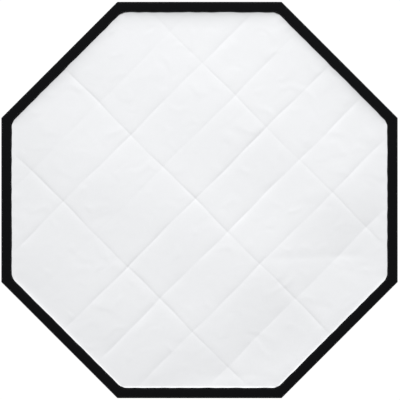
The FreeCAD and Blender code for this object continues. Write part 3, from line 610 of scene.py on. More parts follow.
FLOOR_Z = -1.1
FLOOR_R = 1.6
FLOOR_SIDES = 48
floor_points = [Vector((0, 0, FLOOR_Z))]
for a in np.linspace(0, 2 * math.pi, FLOOR_SIDES + 1)[:-1]:
    floor_points.append(Vector((FLOOR_R * math.cos(a), FLOOR_R * math.sin(a), FLOOR_Z)))
floor_faces = [(0, 1 + k, 1 + (k + 1) % FLOOR_SIDES) for k in range(FLOOR_SIDES)]
floor_white, work, shader = new_material("floor_white", (0.45, 0.45, 0.45), 0.8)
floor = new_piece("floor", floor_points, floor_faces, materials=[floor_white])

world = bpy.data.worlds.new("studio")
world.use_nodes = True
world.node_tree.nodes.clear()
work = Board(world.node_tree)
WORLD_LIGHT = 0.27                     # how much light comes from all round
WORLD_SEEN = 1.05                      # how bright the background looks to the camera
seen = work.add("ShaderNodeLightPath").outputs["Is Camera Ray"]
strength = work.math("MULTIPLY_ADD", seen, WORLD_SEEN - WORLD_LIGHT, WORLD_LIGHT)
sky = work.add("ShaderNodeBackground", Color=(1, 1, 1, 1), Strength=strength)
work.add("ShaderNodeOutputWorld", Surface=sky.outputs[0])
bpy.context.scene.world = world
bpy.context.scene.view_settings.view_transform = "Standard"


def area_light(name, place, target, side, power, spread):
    """A square light that faces a point; spread is how wide its beam opens, in degrees."""
    data = bpy.data.lights.new(name, "AREA")
    data.size = side
    data.energy = power
    data.spread = math.radians(spread)
    light = bpy.data.objects.new(name, data)
    light.location = place
    light.rotation_euler = (Vector(target) - Vector(place)).to_track_quat("-Z", "Y").to_euler()
    bpy.context.scene.collection.objects.link(light)


KEY_PLACE = (0.3, -6.0, 8.8)
KEY_TARGET = (0.05, -0.38, 0.18)
area_light("key", KEY_PLACE, KEY_TARGET, side=1.6, power=42.4, spread=30)
print("camera at", [round(c, 3) for c in camera.location])

# %% [markdown]
# ## The front diffuser
# This is the part that everyone sees: white polyester, stretched flat, with the creases of its storage fold.
# A crease is sharp across and long along, so an even grid would show it as steps. Instead the grid is laid
# at 45 degrees, along the creases, and its lines are close together beside each crease and wide apart
# between them. The octagon is then cut from that grid with `bmesh.ops.bisect_plane`, one cut for each side.
# More cuts, which take nothing away, add lines just inside the border, where the cloth turns back.

# %% The folds of the diffuser
DIFFUSER_HALF = FRONT_HALF - 1 * MM
# Each fold is (place, depth, width on its low side, width on its high side, where it fades), in mm. Places
# are distances from the centre line. A positive depth is a valley, seen from the front.
RISING = [
    (-335, 0.35, 8, 9, None),
    (-228, 0.80, 5.5, 8, None),
    (-118, 0.70, 6, 8, (-120, 120)),
    (-9, 1.15, 5, 7, None),
    (101, 1.20, 9, 7, None),
    (212, 0.95, 7, 8, None),
    (330, 1.20, 16, 12, None),
]
FALLING = [
    (-235, 0.85, 8, 4, None),
    (-6, 0.75, 7, 4, None),
    (237, 0.50, 6, 4, None),
]


def grid_lines(folds, reach, coarse, fine):
    """Line places: wide apart in the open, close beside each fold."""
    places = list(np.arange(-reach, reach + coarse, coarse))
    for place, *_ in folds:
        places = [p for p in places if abs(p - place) > 12]
        places += [place + side * fine * k * (1 + 0.16 * k) for k in range(5) for side in (-1, 1)]
    return sorted(set(round(p, 3) for p in places))


def fold_height(across, along, folds):
    """How far the folds push the cloth, in mm, back from the viewer."""
    total = np.zeros_like(across)
    for number, (place, depth, low_side, high_side, fade) in enumerate(folds):
        bend = 1.1 * np.sin(along / 53 + 2.1 * number) + 0.5 * np.sin(along / 19 + number)
        away = across - place - bend
        width = np.where(away < 0, low_side, high_side)
        uneven = 1 + 0.3 * np.sin(along / 61 + 1.7 * number) + 0.25 * np.sin(along / 17 + 3 * number)
        if fade:
            start, end = fade
            uneven = uneven * (0.25 + 0.75 * np.clip((along - start) / (end - start), 0, 1))
        total += depth * uneven * np.exp(-np.abs(away) / width)
    return total


# short creases that run between two places (x, z): (x1, z1, x2, z2, depth, width), in mm
SHORT_FOLDS = [
    (158, -141, 402, -132, 0.75, 7),
    (-270, -59, -203, -28, 0.7, 6),
    (-203, -28, -160, -62, 0.4, 7),
    (250, -245, 330, -262, 0.6, 8),
    (-330, 120, -262, 168, 0.35, 7),
    (-95, -330, -20, -352, 0.4, 8),
]


def short_fold_height(x, z):
    """How far the short creases push the cloth, in mm."""
    total = np.zeros_like(x)
    for x1, z1, x2, z2, depth, width in SHORT_FOLDS:
        length = math.hypot(x2 - x1, z2 - z1)
        cx, cz = (x2 - x1) / length, (z2 - z1) / length
        along = (x - x1) * cx + (z - z1) * cz
        away = (x - x1) * cz - (z - z1) * cx
        ends = np.clip(along / 25, 0, 1) * np.clip((length - along) / 25, 0, 1)
        total += depth * ends * np.exp(-np.abs(away) / width)
    return total


def octagon_sheet(lines_a, lines_b, half_width, creased=()):
    """A bmesh grid at 45 degrees, cut to an octagon; the lines are places in mm.

    creased lists how far in from the edge the sheet gets extra lines that follow its sides.
    """
    grid_a, grid_b = np.meshgrid(lines_a, lines_b, indexing="ij")
    x = (grid_a + grid_b) / math.sqrt(2)
    z = (grid_a - grid_b) / math.sqrt(2)
    bm = bmesh.new()
    corners = [bm.verts.new((px * MM, 0, pz * MM)) for px, pz in zip(x.reshape(-1), z.reshape(-1))]
    for quad in grid_faces(len(lines_a), len(lines_b)):
        bm.faces.new([corners[k] for k in quad])
    for inset in (0, *creased):
        for k in range(SIDES):
            normal = turn((0, 0, 1), k * STEP)
            bmesh.ops.bisect_plane(
                bm, geom=bm.verts[:] + bm.edges[:] + bm.faces[:], dist=1e-7,
                plane_co=normal * (half_width - inset), plane_no=normal, clear_outer=inset == 0,
            )
    bmesh.ops.delete(bm, geom=[v for v in bm.verts if not v.link_faces], context="VERTS")
    return bm


reach = DIFFUSER_HALF / MM / COS_HALF + 10
beside_band = [DIFFUSER_HALF - FRONT_HALF + BAND_WIDTH + inset * MM for inset in (0, 1.2, 2.6, 5, 9)]
bm = octagon_sheet(
    grid_lines(FALLING, reach, 7, 1.2), grid_lines(RISING, reach, 7, 1.2), DIFFUSER_HALF, beside_band
)
print("diffuser grid:", len(bm.verts), "points")

# %% [markdown]
# Now the cloth gets its height. Four things push it back or forward by a few millimetres:
# - the border holds it a little forward, and it falls back just inside the border
# - the folds, which are cusps: sharp at the line and soft beside it
# - small gathers that run in from the stitched border, and slow waves in between
# - its slack, which lets it lie back a little further low down

# %% Shape the diffuser
BAND_INNER = FRONT_HALF - BAND_WIDTH
FALL_BACK = 2.1                        # how far the cloth falls back inside the border, in mm
TOP_SHARE = 0.65                       # how much further it falls at the top, and less at the bottom
FALL_WIDTH = 5.8                       # how far in from the border the fall reaches, in mm
WIDTH_SHARE = 0.76                     # how much wider it is at the top, and narrower at the bottom
LEAN = 1.2                             # how far the slack cloth lies back low down, in mm
LEAN_FROM = -90                        # the height where that starts, in mm
LEAN_EDGE = 1.3                        # how near the border it comes forward again, in mm
FOLD_SHARE = 0.78                      # scales all the folds together


def edge_distance(x, z):
    """Distance in from the border's inner edge, in mm, and which way along the border, both as arrays."""
    best = None
    for k in range(SIDES):
        c, s = math.cos(k * STEP), math.sin(k * STEP)
        inward = BAND_INNER / MM - (x * s + z * c)
        along = x * c - z * s + 1000 * k
        if best is None:
            best, where = inward, along
        else:
            where = np.where(inward < best, along, where)
            best = np.minimum(best, inward)
    return best, where


def diffuser_depth(x, z):
    """How far the cloth lies behind its edge, in mm, at points in mm."""
    inward, along = edge_distance(x, z)
    open_share = np.clip(inward / 30, 0, 1)
    upward = z / (BAND_INNER / MM)
    width = FALL_WIDTH * (1 + WIDTH_SHARE * upward)
    fall = FALL_BACK * (1 + TOP_SHARE * upward) * (1 - np.exp(-np.maximum(inward, 0) / width))
    gathers = np.sin(along / 5.1 + 1.3 * np.sin(along / 17)) * (0.6 + 0.4 * np.sin(along / 43))
    gathers = 0.22 * gathers * np.exp(-np.maximum(inward, 0) / 14) * np.clip(inward / 4, 0, 1)
    folds = fold_height((x - z) / math.sqrt(2), (x + z) / math.sqrt(2), RISING)
    folds += fold_height((x + z) / math.sqrt(2), (x - z) / math.sqrt(2), FALLING) + short_fold_height(x, z)
    slow = 0.5 * np.sin(x / 97 + 0.6) * np.sin(z / 71 + 0.9) + 0.35 * np.sin((x + 1.7 * z) / 83)
    lean = LEAN * np.clip((LEAN_FROM - z) / (BAND_INNER / MM + LEAN_FROM), 0, 1) ** 2
    low_right = np.clip((x - z) / 400, 0, 1.2)
    slow += low_right * 0.8 * np.sin((x - z) / 64 + 0.4 * np.sin((x + z) / 90))
    inside = np.clip(inward / LEAN_EDGE, 0, 1)
    return fall + gathers + (FOLD_SHARE * folds + slow) * open_share + lean * inside


xz = np.array([(v.co.x, v.co.z) for v in bm.verts]) / MM
depth = diffuser_depth(xz[:, 0], xz[:, 1])
for vertex, back in zip(bm.verts, depth):
    vertex.co.y = CLOTH_FRONT_Y + back * MM


def sheet_object(name, bm, material):
    """Turns the bmesh of a sheet into an object that faces the front, with its weave's UV map."""
    bm.normal_update()
    if sum(f.normal.y for f in bm.faces) > 0:
        bmesh.ops.reverse_faces(bm, faces=bm.faces)
    uv_layer = bm.loops.layers.uv.new("cloth")
    for polygon in bm.faces:
        polygon.smooth = True
        for loop in polygon.loops:
            loop[uv_layer].uv = (loop.vert.co.x, loop.vert.co.z)
    mesh = bpy.data.meshes.new(name)
    bm.to_mesh(mesh)
    bm.free()
    mesh.materials.append(material)
    piece = bpy.data.objects.new(name, mesh)
    bpy.context.scene.collection.objects.link(piece)
    return piece


diffuser = sheet_object("diffuser", bm, diffuser_white)
DIFFUSER_T = 0.5 * MM
thicken(diffuser, DIFFUSER_T, -1)
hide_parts("diffuser_cloth")
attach(diffuser, "front_diffuser")
print("diffuser depth runs from", round(depth.min(), 2), "to", round(depth.max(), 2), "mm")

# %% [markdown]
# ## The border band
# A binding tape folds over the diffuser's edge and is sewn down with two rows. It is a ring with eight sides.
# One function gives the tape's section at any place: the outer edge is a straight octagon, the inner edge
# wavers by half a millimetre between the stitches and turns its corners with a small radius.

# %% The path round the octagon
def side_places(count, corner_count):
    """Places from -1 to 1 along one side, closer together near its ends."""
    middle = list(np.linspace(-0.93, 0.93, count))
    end = list(np.linspace(0.93, 1, corner_count + 1))[1:]
    return [-p for p in reversed(end)] + middle + end[:-1]


BAND_PLACES = side_places(60, 4)
TAPE_PLACES = side_places(24, 2)


def waver(along, size):
    """A slow, uneven wave with this height."""
    point = Vector((along * 31, along * 7.3, 2.5))
    return size * 1.6 * noise.noise(point) + 0.4 * size * math.sin(along * 173)


CORNER_R = 28 * MM


def around_octagon(apothem, place, side, corner_r=0.0, wave=0.0):
    """A point (x, z) on an octagon's outline, and the length along it."""
    half = apothem * TAN_HALF
    across = place * half
    height = apothem
    start = half - corner_r * TAN_HALF
    past = abs(across) - start
    if corner_r > 0 and past > 0:
        height -= corner_r - math.sqrt(max(corner_r ** 2 - past ** 2, 0))
    along = side * 2 * FRONT_HALF * TAN_HALF + place * FRONT_HALF * TAN_HALF
    if wave:
        height += waver(along, wave) * smooth((1 - abs(place)) * 8)
        across = place * half if corner_r == 0 else place * half * min(1.0, height / apothem)
    return across, height, along


def ring_rows(section):
    """Rows of points round the octagon; section(place, side) gives one row of points in the side's frame."""
    rows = []
    for side in range(SIDES):
        for place in BAND_PLACES:
            rows.append([turn(p, side * STEP) for p in section(place, side)])
    return rows


print("octagon tools ready")

# %% Make the band
BAND_T = 0.9 * MM
BAND_WAVER = 0.45 * MM                 # how far the inner edge strays
STITCH_SHARES = (0.104, 0.896)         # where the two rows of stitches run, as shares of the tape's width
BAND_ROWS = [
    # (share across the tape from outside to inside, height as a share of the tape's thickness)
    (0.0, -1.6), (0.0, 0.1), (0.008, 0.6), (0.03, 0.95), (0.08, 0.9), (0.104, 0.72), (0.13, 0.9),
    (0.25, 1.1), (0.5, 1.2), (0.75, 1.1), (0.87, 0.95), (0.896, 0.74), (0.92, 0.95), (0.97, 0.95),
    (0.992, 0.6), (1.0, 0.05), (0.99, -0.4),
]


def band_section(place, side):
    """One section of the tape, from its back edge round to its inner edge."""
    outer_x, outer_z, along = around_octagon(FRONT_HALF, place, side)
    inner_x, inner_z, _ = around_octagon(BAND_INNER, place, side, CORNER_R, BAND_WAVER)
    row = []
    for share, lift in BAND_ROWS:
        ripple = 0.12 * MM * noise.noise(Vector((along * 160, share * 3, side * 5.1)))
        ripple += 0.1 * MM * noise.noise(Vector((along * 34, share * 2, 9.0)))
        y = CLOTH_FRONT_Y - lift * BAND_T - ripple * min(1.0, max(lift, 0) * 1.2)
        row.append(Vector((outer_x + (inner_x - outer_x) * share, y, outer_z + (inner_z - outer_z) * share)))
    return row


band_points = ring_rows(band_section)
band_uvs = [[(k * 5.8 * MM, share * BAND_WIDTH) for share, _ in BAND_ROWS] for k in range(len(band_points))]
band = grid_piece("border_tape", band_points, band_uvs, close_rows=True, materials=[band_black])
set_outward(band)
if sum(p.normal.y for p in band.data.polygons) > 0:
    set_outward(band, -1)
thicken(band, 0.45 * MM, -1)
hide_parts("border_band")
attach(band, "front_diffuser")


def band_line(share):
    """A stitch line at this share across the tape."""
    line = []
    for side in range(SIDES):
        for place in BAND_PLACES:
            outer_x, outer_z, _ = around_octagon(FRONT_HALF, place, side)
            inner_x, inner_z, _ = around_octagon(BAND_INNER, place, side, CORNER_R, BAND_WAVER)
            point = (
                outer_x + (inner_x - outer_x) * share,
                CLOTH_FRONT_Y - 0.8 * BAND_T,
                outer_z + (inner_z - outer_z) * share,
            )
            line.append((turn(point, side * STEP), Vector((0, -1, 0))))
    return line + line[:1]


stitch_lines = [band_line(share) for share in STITCH_SHARES]
sew("border_stitches", stitch_lines, thread_black, "front_diffuser", "black_binding")
print("border band:", len(band.data.polygons), "faces")

# %% [markdown]
# ## Rings of tape behind the band
# Three flat rings lie behind the border: hook tape on the diffuser, and the shell's front lip with loop tape.
# Each has the same recipe as the band, but a plain section, so one function makes them all. The section is a
# list of (half width across flats, Y) pairs that goes once round the tape.

# %% Make the lip and the two tapes
def tape_ring(name, profile, material, body, node, bow=0.0):
    """A flat ring of tape with eight sides; profile goes once round its section."""
    rows = []
    uv_rows = []
    for side in range(SIDES):
        for place in TAPE_PLACES:
            row = []
            for apothem, y in profile:
                across, height, along = around_octagon(apothem, place, side)
                height -= bow * (1 - place * place)
                row.append(turn((across, y, height), side * STEP))
            rows.append(row)
            uv_rows.append([(along, k * 8 * MM) for k in range(len(profile))])
    piece = grid_piece(name, rows, uv_rows, close_rows=True, close_columns=True, materials=[material])
    set_outward(piece)
    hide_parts(node)
    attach(piece, body)
    return piece


def flat_profile(outer, inner, front, back, steps=6, puff=0.1 * MM):
    """A tape's section: a slightly puffed front, rounded edges and a flat back."""
    profile = []
    for k in range(steps + 1):
        share = k / steps
        edge = min(share, 1 - share) * steps
        drop = (back - front) * (0.35 if edge == 0 else 0.0)
        profile.append((outer + (inner - outer) * share, front + drop - puff * math.sin(math.pi * share)))
    profile += [(inner, back - (back - front) * 0.1), (outer, back - (back - front) * 0.1)]
    return profile


def tape_of(node, width, name, material, body):
    """A tape ring that fills the CAD node's place."""
    low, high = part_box(node)
    return tape_ring(name, flat_profile(high.x, high.x - width, low.y, high.y), material, body, node)


TAPE_WIDTH = 20 * MM
lip = tape_of("front_lip", BAND_WIDTH, "front_hem", shell_black, "speed_ring")
loop = tape_of("loop_tape", TAPE_WIDTH, "loop_strip", loop_black, "speed_ring")
hook = tape_of("hook_tape", TAPE_WIDTH, "hook_strip", hook_black, "front_diffuser")
for piece in (lip, loop, hook):
    print(piece.name, len(piece.data.polygons), "faces")

# %% [markdown]
# ## The rule behind the shell
# Each rod leaves its socket straight and then bends in one arc, and the cloth runs 7 mm outside the rods. So
# a point of the shell needs only two numbers: how far outside the rod it lies, and how far round the arc it
# is. `on_bend` turns those into a place in the plane of one rod, with the radius along +Z.

# %% The arc of a rod
LAUNCH_ANGLE = math.radians(67.5)
LAUNCH = Vector((0, -math.cos(LAUNCH_ANGLE), math.sin(LAUNCH_ANGLE)))
INWARD = Vector((0, -math.sin(LAUNCH_ANGLE), -math.cos(LAUNCH_ANGLE)))
SOCKET_PLACE = Vector((0, -38 * MM, 86 * MM))
SOCKET_REACH = 24                      # from there to the socket's mouth, in mm
MOUTH = SOCKET_PLACE + LAUNCH * SOCKET_REACH * MM
ROD_TO_CLOTH = 7 * MM
CLOTH_T = 1.2 * MM
FRONT_CORNER = Vector((0, LIP_BACK_Y, FRONT_HALF / COS_HALF))
to_corner = FRONT_CORNER - MOUTH
outside = ROD_TO_CLOTH + CLOTH_T
BEND_R = (to_corner.length_squared - outside ** 2) / (2 * to_corner.dot(INWARD) + 2 * outside)
BEND_CENTRE = MOUTH + INWARD * BEND_R


def on_bend(offset, angle):
    """The place at this offset outside a rod, this far round its arc, in the rod's plane."""
    return BEND_CENTRE + (LAUNCH * math.sin(angle) - INWARD * math.cos(angle)) * (BEND_R + offset)


def bend_out(angle):
    """The direction straight away from the rod there."""
    return LAUNCH * math.sin(angle) - INWARD * math.cos(angle)


def angle_at(offset, y):
    """How far round the arc the line at this offset reaches this Y, found by halving."""
    low, high = 0.0, LAUNCH_ANGLE
    for _ in range(40):
        middle = (low + high) / 2
        if on_bend(offset, middle).y > y:
            low = middle
        else:
            high = middle
    return (low + high) / 2


def beside_seam(offset, angle, side):
    """A place on the unsagged shell, this far beside a seam, in the rod's plane."""
    p = on_bend(offset, angle)
    return Vector((side, p.y, p.z - abs(side) * TAN_HALF))


CLOTH_FROM_MOUTH = 2.5 * MM
SHELL_START = CLOTH_FROM_MOUTH / BEND_R
SHELL_END = angle_at(ROD_TO_CLOTH, LIP_BACK_Y)
print("bend radius", round(BEND_R, 4), "m; cloth runs", round((SHELL_END - SHELL_START) * BEND_R, 3), "m")

# %% [markdown]
# ## One gore, then eight
# Cloth that is pulled tight between two curved rods can't follow both of them, so it sinks into a saddle
# halfway. Near the ring it also bunches into pleats, and small pulls run in from the front corners. One gore
# is made as a grid with those shapes in it, along with a `slack` value that is 0 at the seams and 1 in the
# open. Its flat UV map keeps the threads straight.

# %% Shape one gore
SAG = 13 * MM
GORE_ROWS = 84
GORE_COLUMNS = 48
SHELL_INNER = ROD_TO_CLOTH + 0.15 * MM


def sag_at(u, v):
    """How far the cloth sinks in, u from -1 to 1 across a gore and v from 0 at the ring to 1 at the front."""
    return SAG * math.sin(math.pi * v) ** 0.8 * (1 - u * u) ** 2


def gore_row(v):
    """One row of a gore, v from 0 at the ring to 1 at the front: points, UVs and slack."""
    angle = SHELL_START + (SHELL_END - SHELL_START) * v
    points, uvs, slacks = [], [], []
    from_ring = (angle - SHELL_START) * BEND_R
    to_front = (SHELL_END - angle) * BEND_R
    for k in range(GORE_COLUMNS + 1):
        u = 2 * k / GORE_COLUMNS - 1
        u = math.sin(u * math.pi / 2) * 0.35 + u * 0.65
        open_share = (1 - u * u) ** 2
        pleat = 1.3 * MM * math.cos(u * 17) * math.exp(-from_ring / 0.035) * (1 - u ** 4)
        width = on_bend(SHELL_INNER, angle).z * math.sin(HALF)
        from_corner = math.hypot((1 - abs(u)) * width, to_front)
        fan = math.atan2(to_front, (1 - abs(u)) * width + 1e-6)
        pull = 0.9 * MM * math.sin(fan * 14) * math.exp(-from_corner / 0.09) * smooth(from_corner / 0.02)
        p = on_bend(SHELL_INNER - sag_at(u, v) + (pleat + pull) * smooth(to_front / 0.006), angle)
        half = p.z * math.sin(HALF)
        points.append(Vector((u * half, p.y, p.z * COS_HALF)))
        uvs.append((u * half, angle * BEND_R))
        slacks.append(open_share * smooth(from_ring / 0.03) * smooth(to_front / 0.03))
    return points, uvs, slacks


made = [gore_row(k / GORE_ROWS) for k in range(GORE_ROWS + 1)]
gore = grid_piece("gore_base", [m[0] for m in made], [m[1] for m in made])
slack = gore.data.attributes.new("slack", "FLOAT", "POINT")
slack.data.foreach_set("value", [s for m in made for s in m[2]])
if sum(p.normal.z for p in gore.data.polygons) < 0:
    gore.data.flip_normals()

# %% [markdown]
# The tree `turned_copies` sets a number of copies round the Y axis and joins their edges. It then lays
# uneven ripples over all of them at once, so no two gores look the same. The ripples are noise in real
# space, scaled by `slack`. The same tree, without ripples, later repeats the tapes, sleeves and cups.

# %% Build the tree of turned copies
board, given, out = new_group(
    "turned_copies",
    "GeometryNodeTree",
    [
        ("Geometry", "NodeSocketGeometry", None), ("Count", "NodeSocketInt", SIDES),
        ("Ripple Height", FLOAT, 0.0), ("Ripple Size", FLOAT, 0.08), ("Seed", "NodeSocketInt", 1),
        ("Material", "NodeSocketMaterial", None),
    ],
    [("Geometry", "NodeSocketGeometry")],
)
places = board.add("GeometryNodePoints", Count=given.outputs["Count"])
order = board.add("GeometryNodeInputIndex").outputs[0]
share = board.math("DIVIDE", order, given.outputs["Count"])
about_y = board.add("ShaderNodeCombineXYZ", Y=board.math("MULTIPLY", share, 2 * math.pi))
copies = board.add(
    "GeometryNodeInstanceOnPoints", Points=places.outputs[0], Instance=given.outputs["Geometry"],
    Rotation=about_y.outputs[0],
)
real = board.add("GeometryNodeRealizeInstances", Geometry=copies.outputs[0])
joined = board.add("GeometryNodeMergeByDistance", Geometry=real.outputs[0], Distance=0.02 * MM)
where = board.add("GeometryNodeInputPosition").outputs[0]
rate = board.math("DIVIDE", 1.0, given.outputs["Ripple Size"])
bumps = board.add(
    "ShaderNodeTexNoise", {"noise_dimensions": "4D"},
    Vector=where, W=given.outputs["Seed"], Scale=rate, Detail=3.0,
)
swing = board.math("MULTIPLY", board.math("SUBTRACT", bumps.outputs[0], 0.5), given.outputs["Ripple Height"])
loose = board.add("GeometryNodeInputNamedAttribute", {"data_type": "FLOAT"}, Name="slack")
amount = board.math("MULTIPLY", swing, loose.outputs[0])
normal = board.add("GeometryNodeInputNormal").outputs[0]
push = board.add("ShaderNodeVectorMath", {"operation": "SCALE"}, i0=normal, Scale=amount)
rippled = board.add("GeometryNodeSetPosition", Geometry=joined.outputs[0], Offset=push.outputs[0])
clothed = board.add(
    "GeometryNodeSetMaterial", Geometry=rippled.outputs[0], Material=given.outputs["Material"]
)
board.tree.links.new(clothed.outputs[0], out.inputs[0])
copies_tree = board.tree
print("turned_copies:", len(copies_tree.nodes), "nodes")

# %% Make the shell
shell = run_tree(
    "shell", copies_tree, gore,
    Count=SIDES, Ripple_Height=7 * MM, Ripple_Size=0.11, Seed=4, Material=shell_black,
)
shell.data.materials.append(silver_lining)
SHELL_T = 0.8 * MM
thicken(shell, SHELL_T, 1, material_offset=1, material_offset_rim=0)
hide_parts(*[f"gore_{number}" for number in range(1, SIDES + 1)])
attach(shell, "speed_ring")
print("shell:", len(shell.data.polygons), "faces")

# %% [markdown]
# ## Seams, tapes, sleeves and cups
# The eight seams are where the work is on the real thing: a binding outside with two rows of stitches, a
# tape inside, two sleeves that keep each rod on its seam, and a webbing cup for the rod's tip. Each is made
# once beside the first rod and then handed to `turned_copies`.

# %% Bind the seams
def eightfold(name, base, material, body, node=None):
    """Eight turned copies of a piece that was made at the first rod."""
    piece = run_tree(name, copies_tree, base, Count=SIDES, Ripple_Height=0.0, Material=material)
    if node:
        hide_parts(node)
    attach(piece, body)
    print(name, len(piece.data.polygons), "faces")
    return piece


def seam_strip(name, half_width, offset, puff, start, end, steps=70, columns=8):
    """A strip that lies along the first rod's seam; puff lifts its middle."""
    rows, uvs = [], []
    for k in range(steps + 1):
        angle = start + (end - start) * k / steps
        row = []
        for j in range(columns + 1):
            side = (2 * j / columns - 1) * half_width
            lift = puff * math.cos(side / half_width * math.pi / 2)
            row.append(turn(beside_seam(offset + lift, angle, side), HALF))
        rows.append(row)
        uvs.append([((2 * j / columns - 1) * half_width, angle * BEND_R) for j in range(columns + 1)])
    return grid_piece(name, rows, uvs)


OUTER = SHELL_INNER + SHELL_T
BINDING_HALF = 4.5 * MM
binding_strip = seam_strip(
    "binding_base", BINDING_HALF, OUTER + 0.3 * MM, 0.5 * MM, SHELL_START + 0.004, SHELL_END - 0.001
)
binding = eightfold("seam_bindings", binding_strip, webbing_black, "speed_ring")
thicken(binding, 0.6 * MM, 0)
inside_tape = eightfold(
    "inside_tapes",
    seam_strip("tape_base", 8 * MM, 6.4 * MM, 0.0, 2 * SHELL_START, SHELL_END - 0.0015),
    webbing_black, "speed_ring", "seam_tapes",
)
thicken(inside_tape, 0.6 * MM, 0)


def seam_lines(side, offset, start, end, steps=70):
    """Stitch lines along all eight seams, at this distance beside them."""
    lines = []
    for number in range(SIDES):
        line = []
        for k in range(steps + 1):
            angle = start + (end - start) * k / steps
            place = HALF + number * STEP
            line.append((turn(beside_seam(offset, angle, side), place), turn(bend_out(angle), place)))
        lines.append(line)
    return lines


rows = []
for side in (-3 * MM, 3 * MM):
    rows += seam_lines(side, OUTER + 0.85 * MM, SHELL_START + 0.012, SHELL_END - 0.006)
sew("seam_stitches", rows, thread_grey, "speed_ring", "shell_cloth", Spacing=4.5 * MM, Length=3.2 * MM)

# %% [markdown]
# A sleeve hangs from the seam and wraps round the rod, so its section is a drop: a circle round the rod with
# a neck that reaches up to the tape. A cup is a short closed tube, a bit squashed, that the cap sits in.

# %% Make the sleeves and the cups
ROD_R = 2.25 * MM
SLEEVE_LENGTH = 25 * MM
SLEEVE_PLACES = (0.3, 0.66)
TIP_BEHIND_LIP = 12 * MM
ROD_TURN = angle_at(0.0, LIP_BACK_Y + TIP_BEHIND_LIP)


def drop_section():
    """The sleeve's section: (side, offset) pairs from the neck round the rod and back."""
    section = [(1.6 * MM, 5.7 * MM), (0.9 * MM, 4.8 * MM)]
    wrap = ROD_R + 0.7 * MM
    for k in range(15):
        a = math.radians(35 + k * 290 / 14)
        section.append((wrap * math.sin(a), wrap * math.cos(a)))
    return section + [(-0.9 * MM, 4.8 * MM), (-1.6 * MM, 5.7 * MM)]


section = drop_section()
points, faces, uvs = [], [], []
for share in SLEEVE_PLACES:
    steps = 12
    start = len(points)
    for k in range(steps + 1):
        angle = share * ROD_TURN + (k / steps - 0.5) * SLEEVE_LENGTH / BEND_R
        flare = 1 + 0.05 * abs(2 * k / steps - 1) ** 3
        for j, (side, offset) in enumerate(section):
            p = on_bend(offset * (flare if offset < 4 * MM else 1), angle)
            points.append(turn((side * flare, p.y, p.z), HALF))
            uvs.append((j * 1.2 * MM, angle * BEND_R))
    faces += grid_faces(steps + 1, len(section), start=start)
sleeves = eightfold(
    "rod_sleeves", new_piece("sleeve_base", points, faces, uvs), webbing_black, "speed_ring",
    "rod_keepers",
)
thicken(sleeves, 0.7 * MM, 0)

CAP_R = 4.5 * MM
CAP_LENGTH = 20 * MM
CAP_OVER_ROD = 13.75 * MM              # how far the cap reaches back over its rod
tip = on_bend(0.0, ROD_TURN)
tip_way = LAUNCH * math.cos(ROD_TURN) + INWARD * math.sin(ROD_TURN)
tip_out = bend_out(ROD_TURN)
cap_nose = tip + tip_way * (CAP_LENGTH - CAP_OVER_ROD)
rows, uvs = [], []
CUP_AROUND = 28
CUP = [                                # (place along the cap in mm, share of the cup's radius)
    (-17.5, 1.10), (-16.0, 1.05), (-13.0, 1.0), (-8.0, 1.0), (-4.0, 1.0), (-1.8, 0.97), (-0.3, 0.84),
    (0.5, 0.6), (0.8, 0.3), (0.85, 0.02),
]
for reach, share in CUP:
    row = []
    for j in range(CUP_AROUND):
        a = 2 * math.pi * j / CUP_AROUND
        radius = (CAP_R + 0.6 * MM) * share * (1 + 0.035 * math.sin(3 * a + reach) + 0.02 * math.sin(7 * a))
        p = cap_nose + tip_way * reach * MM + tip_out * math.cos(a) * radius
        row.append(turn((math.sin(a) * radius, p.y, p.z), HALF))
    rows.append(row)
    uvs.append([(j * 1.1 * MM, reach * MM) for j in range(CUP_AROUND)])
cups = eightfold(
    "corner_cups", grid_piece("cup_base", rows, uvs, close_columns=True),
    webbing_black, "speed_ring", "corner_pockets",
)
thicken(cups, 0.8 * MM, 0)

# %% [markdown]
# ## The cuff and its strap
# At the ring, the shell closes with a gathered cuff that a webbing strap pulls tight. Gathered cloth bunches
# into pleats that are deep where it is loose and flat where the strap squeezes it. So the pleats are a wave
# round the ring, with a height that follows the section: none under the strap, most on the cone.

# %% Make the cuff
CUFF_PROFILE = [
    # (radius, distance in front of the lamp's seating face, pleat height), in mm
    (80.9, 16.9, 0.7), (81.0, 17.8, 0.35), (80.9, 18.7, 0.05), (80.9, 21.0, 0.0), (80.9, 23.0, 0.05),
    (81.1, 24.2, 0.35), (82.0, 25.3, 0.6), (86.0, 27.0, 0.8), (92.0, 29.4, 0.9), (98.0, 31.9, 0.9),
    (104.0, 34.4, 0.8), (110.0, 36.9, 0.7), (115.0, 39.0, 0.5), (119.0, 40.6, 0.3), (121.0, 41.4, 0.15),
]
cuff_low, cuff_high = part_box("rear_cuff")
AROUND = 480
PLEATS = 62


def cuff_point(radius, depth, pleat, k):
    """A point of the cuff, in metres, with its pleat."""
    a = 2 * math.pi * k / AROUND
    wave = math.sin(PLEATS * a + 1.4 * math.sin(5 * a) + 0.9 * math.sin(11 * a))
    wave *= 0.75 + 0.25 * math.sin(7 * a + 1)
    lift = pleat * wave * MM
    outward = radius * MM + 0.38 * lift
    return Vector((outward * math.sin(a), -depth * MM + 0.92 * lift, outward * math.cos(a)))


rows = [[cuff_point(r, d, w, k) for k in range(AROUND)] for r, d, w in CUFF_PROFILE]
uvs = [[(k * 1.2 * MM, n * 4 * MM) for k in range(AROUND)] for n in range(len(CUFF_PROFILE))]
cuff = grid_piece("gathered_cuff", rows, uvs, close_columns=True, materials=[shell_black])
thicken(cuff, 0.9 * MM, 0)
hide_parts("rear_cuff")
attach(cuff, "speed_ring")
print("cuff node spans", round(cuff_high.x, 4), "m and Y", round(cuff_low.y, 4), "to", round(cuff_high.y, 4))

# %% [markdown]
# The strap goes once round, enters the buckle, and its free end lies back over it for a few centimetres.
# Webbing has a thick selvedge, so its section is a flat pill with a ridge at each edge.

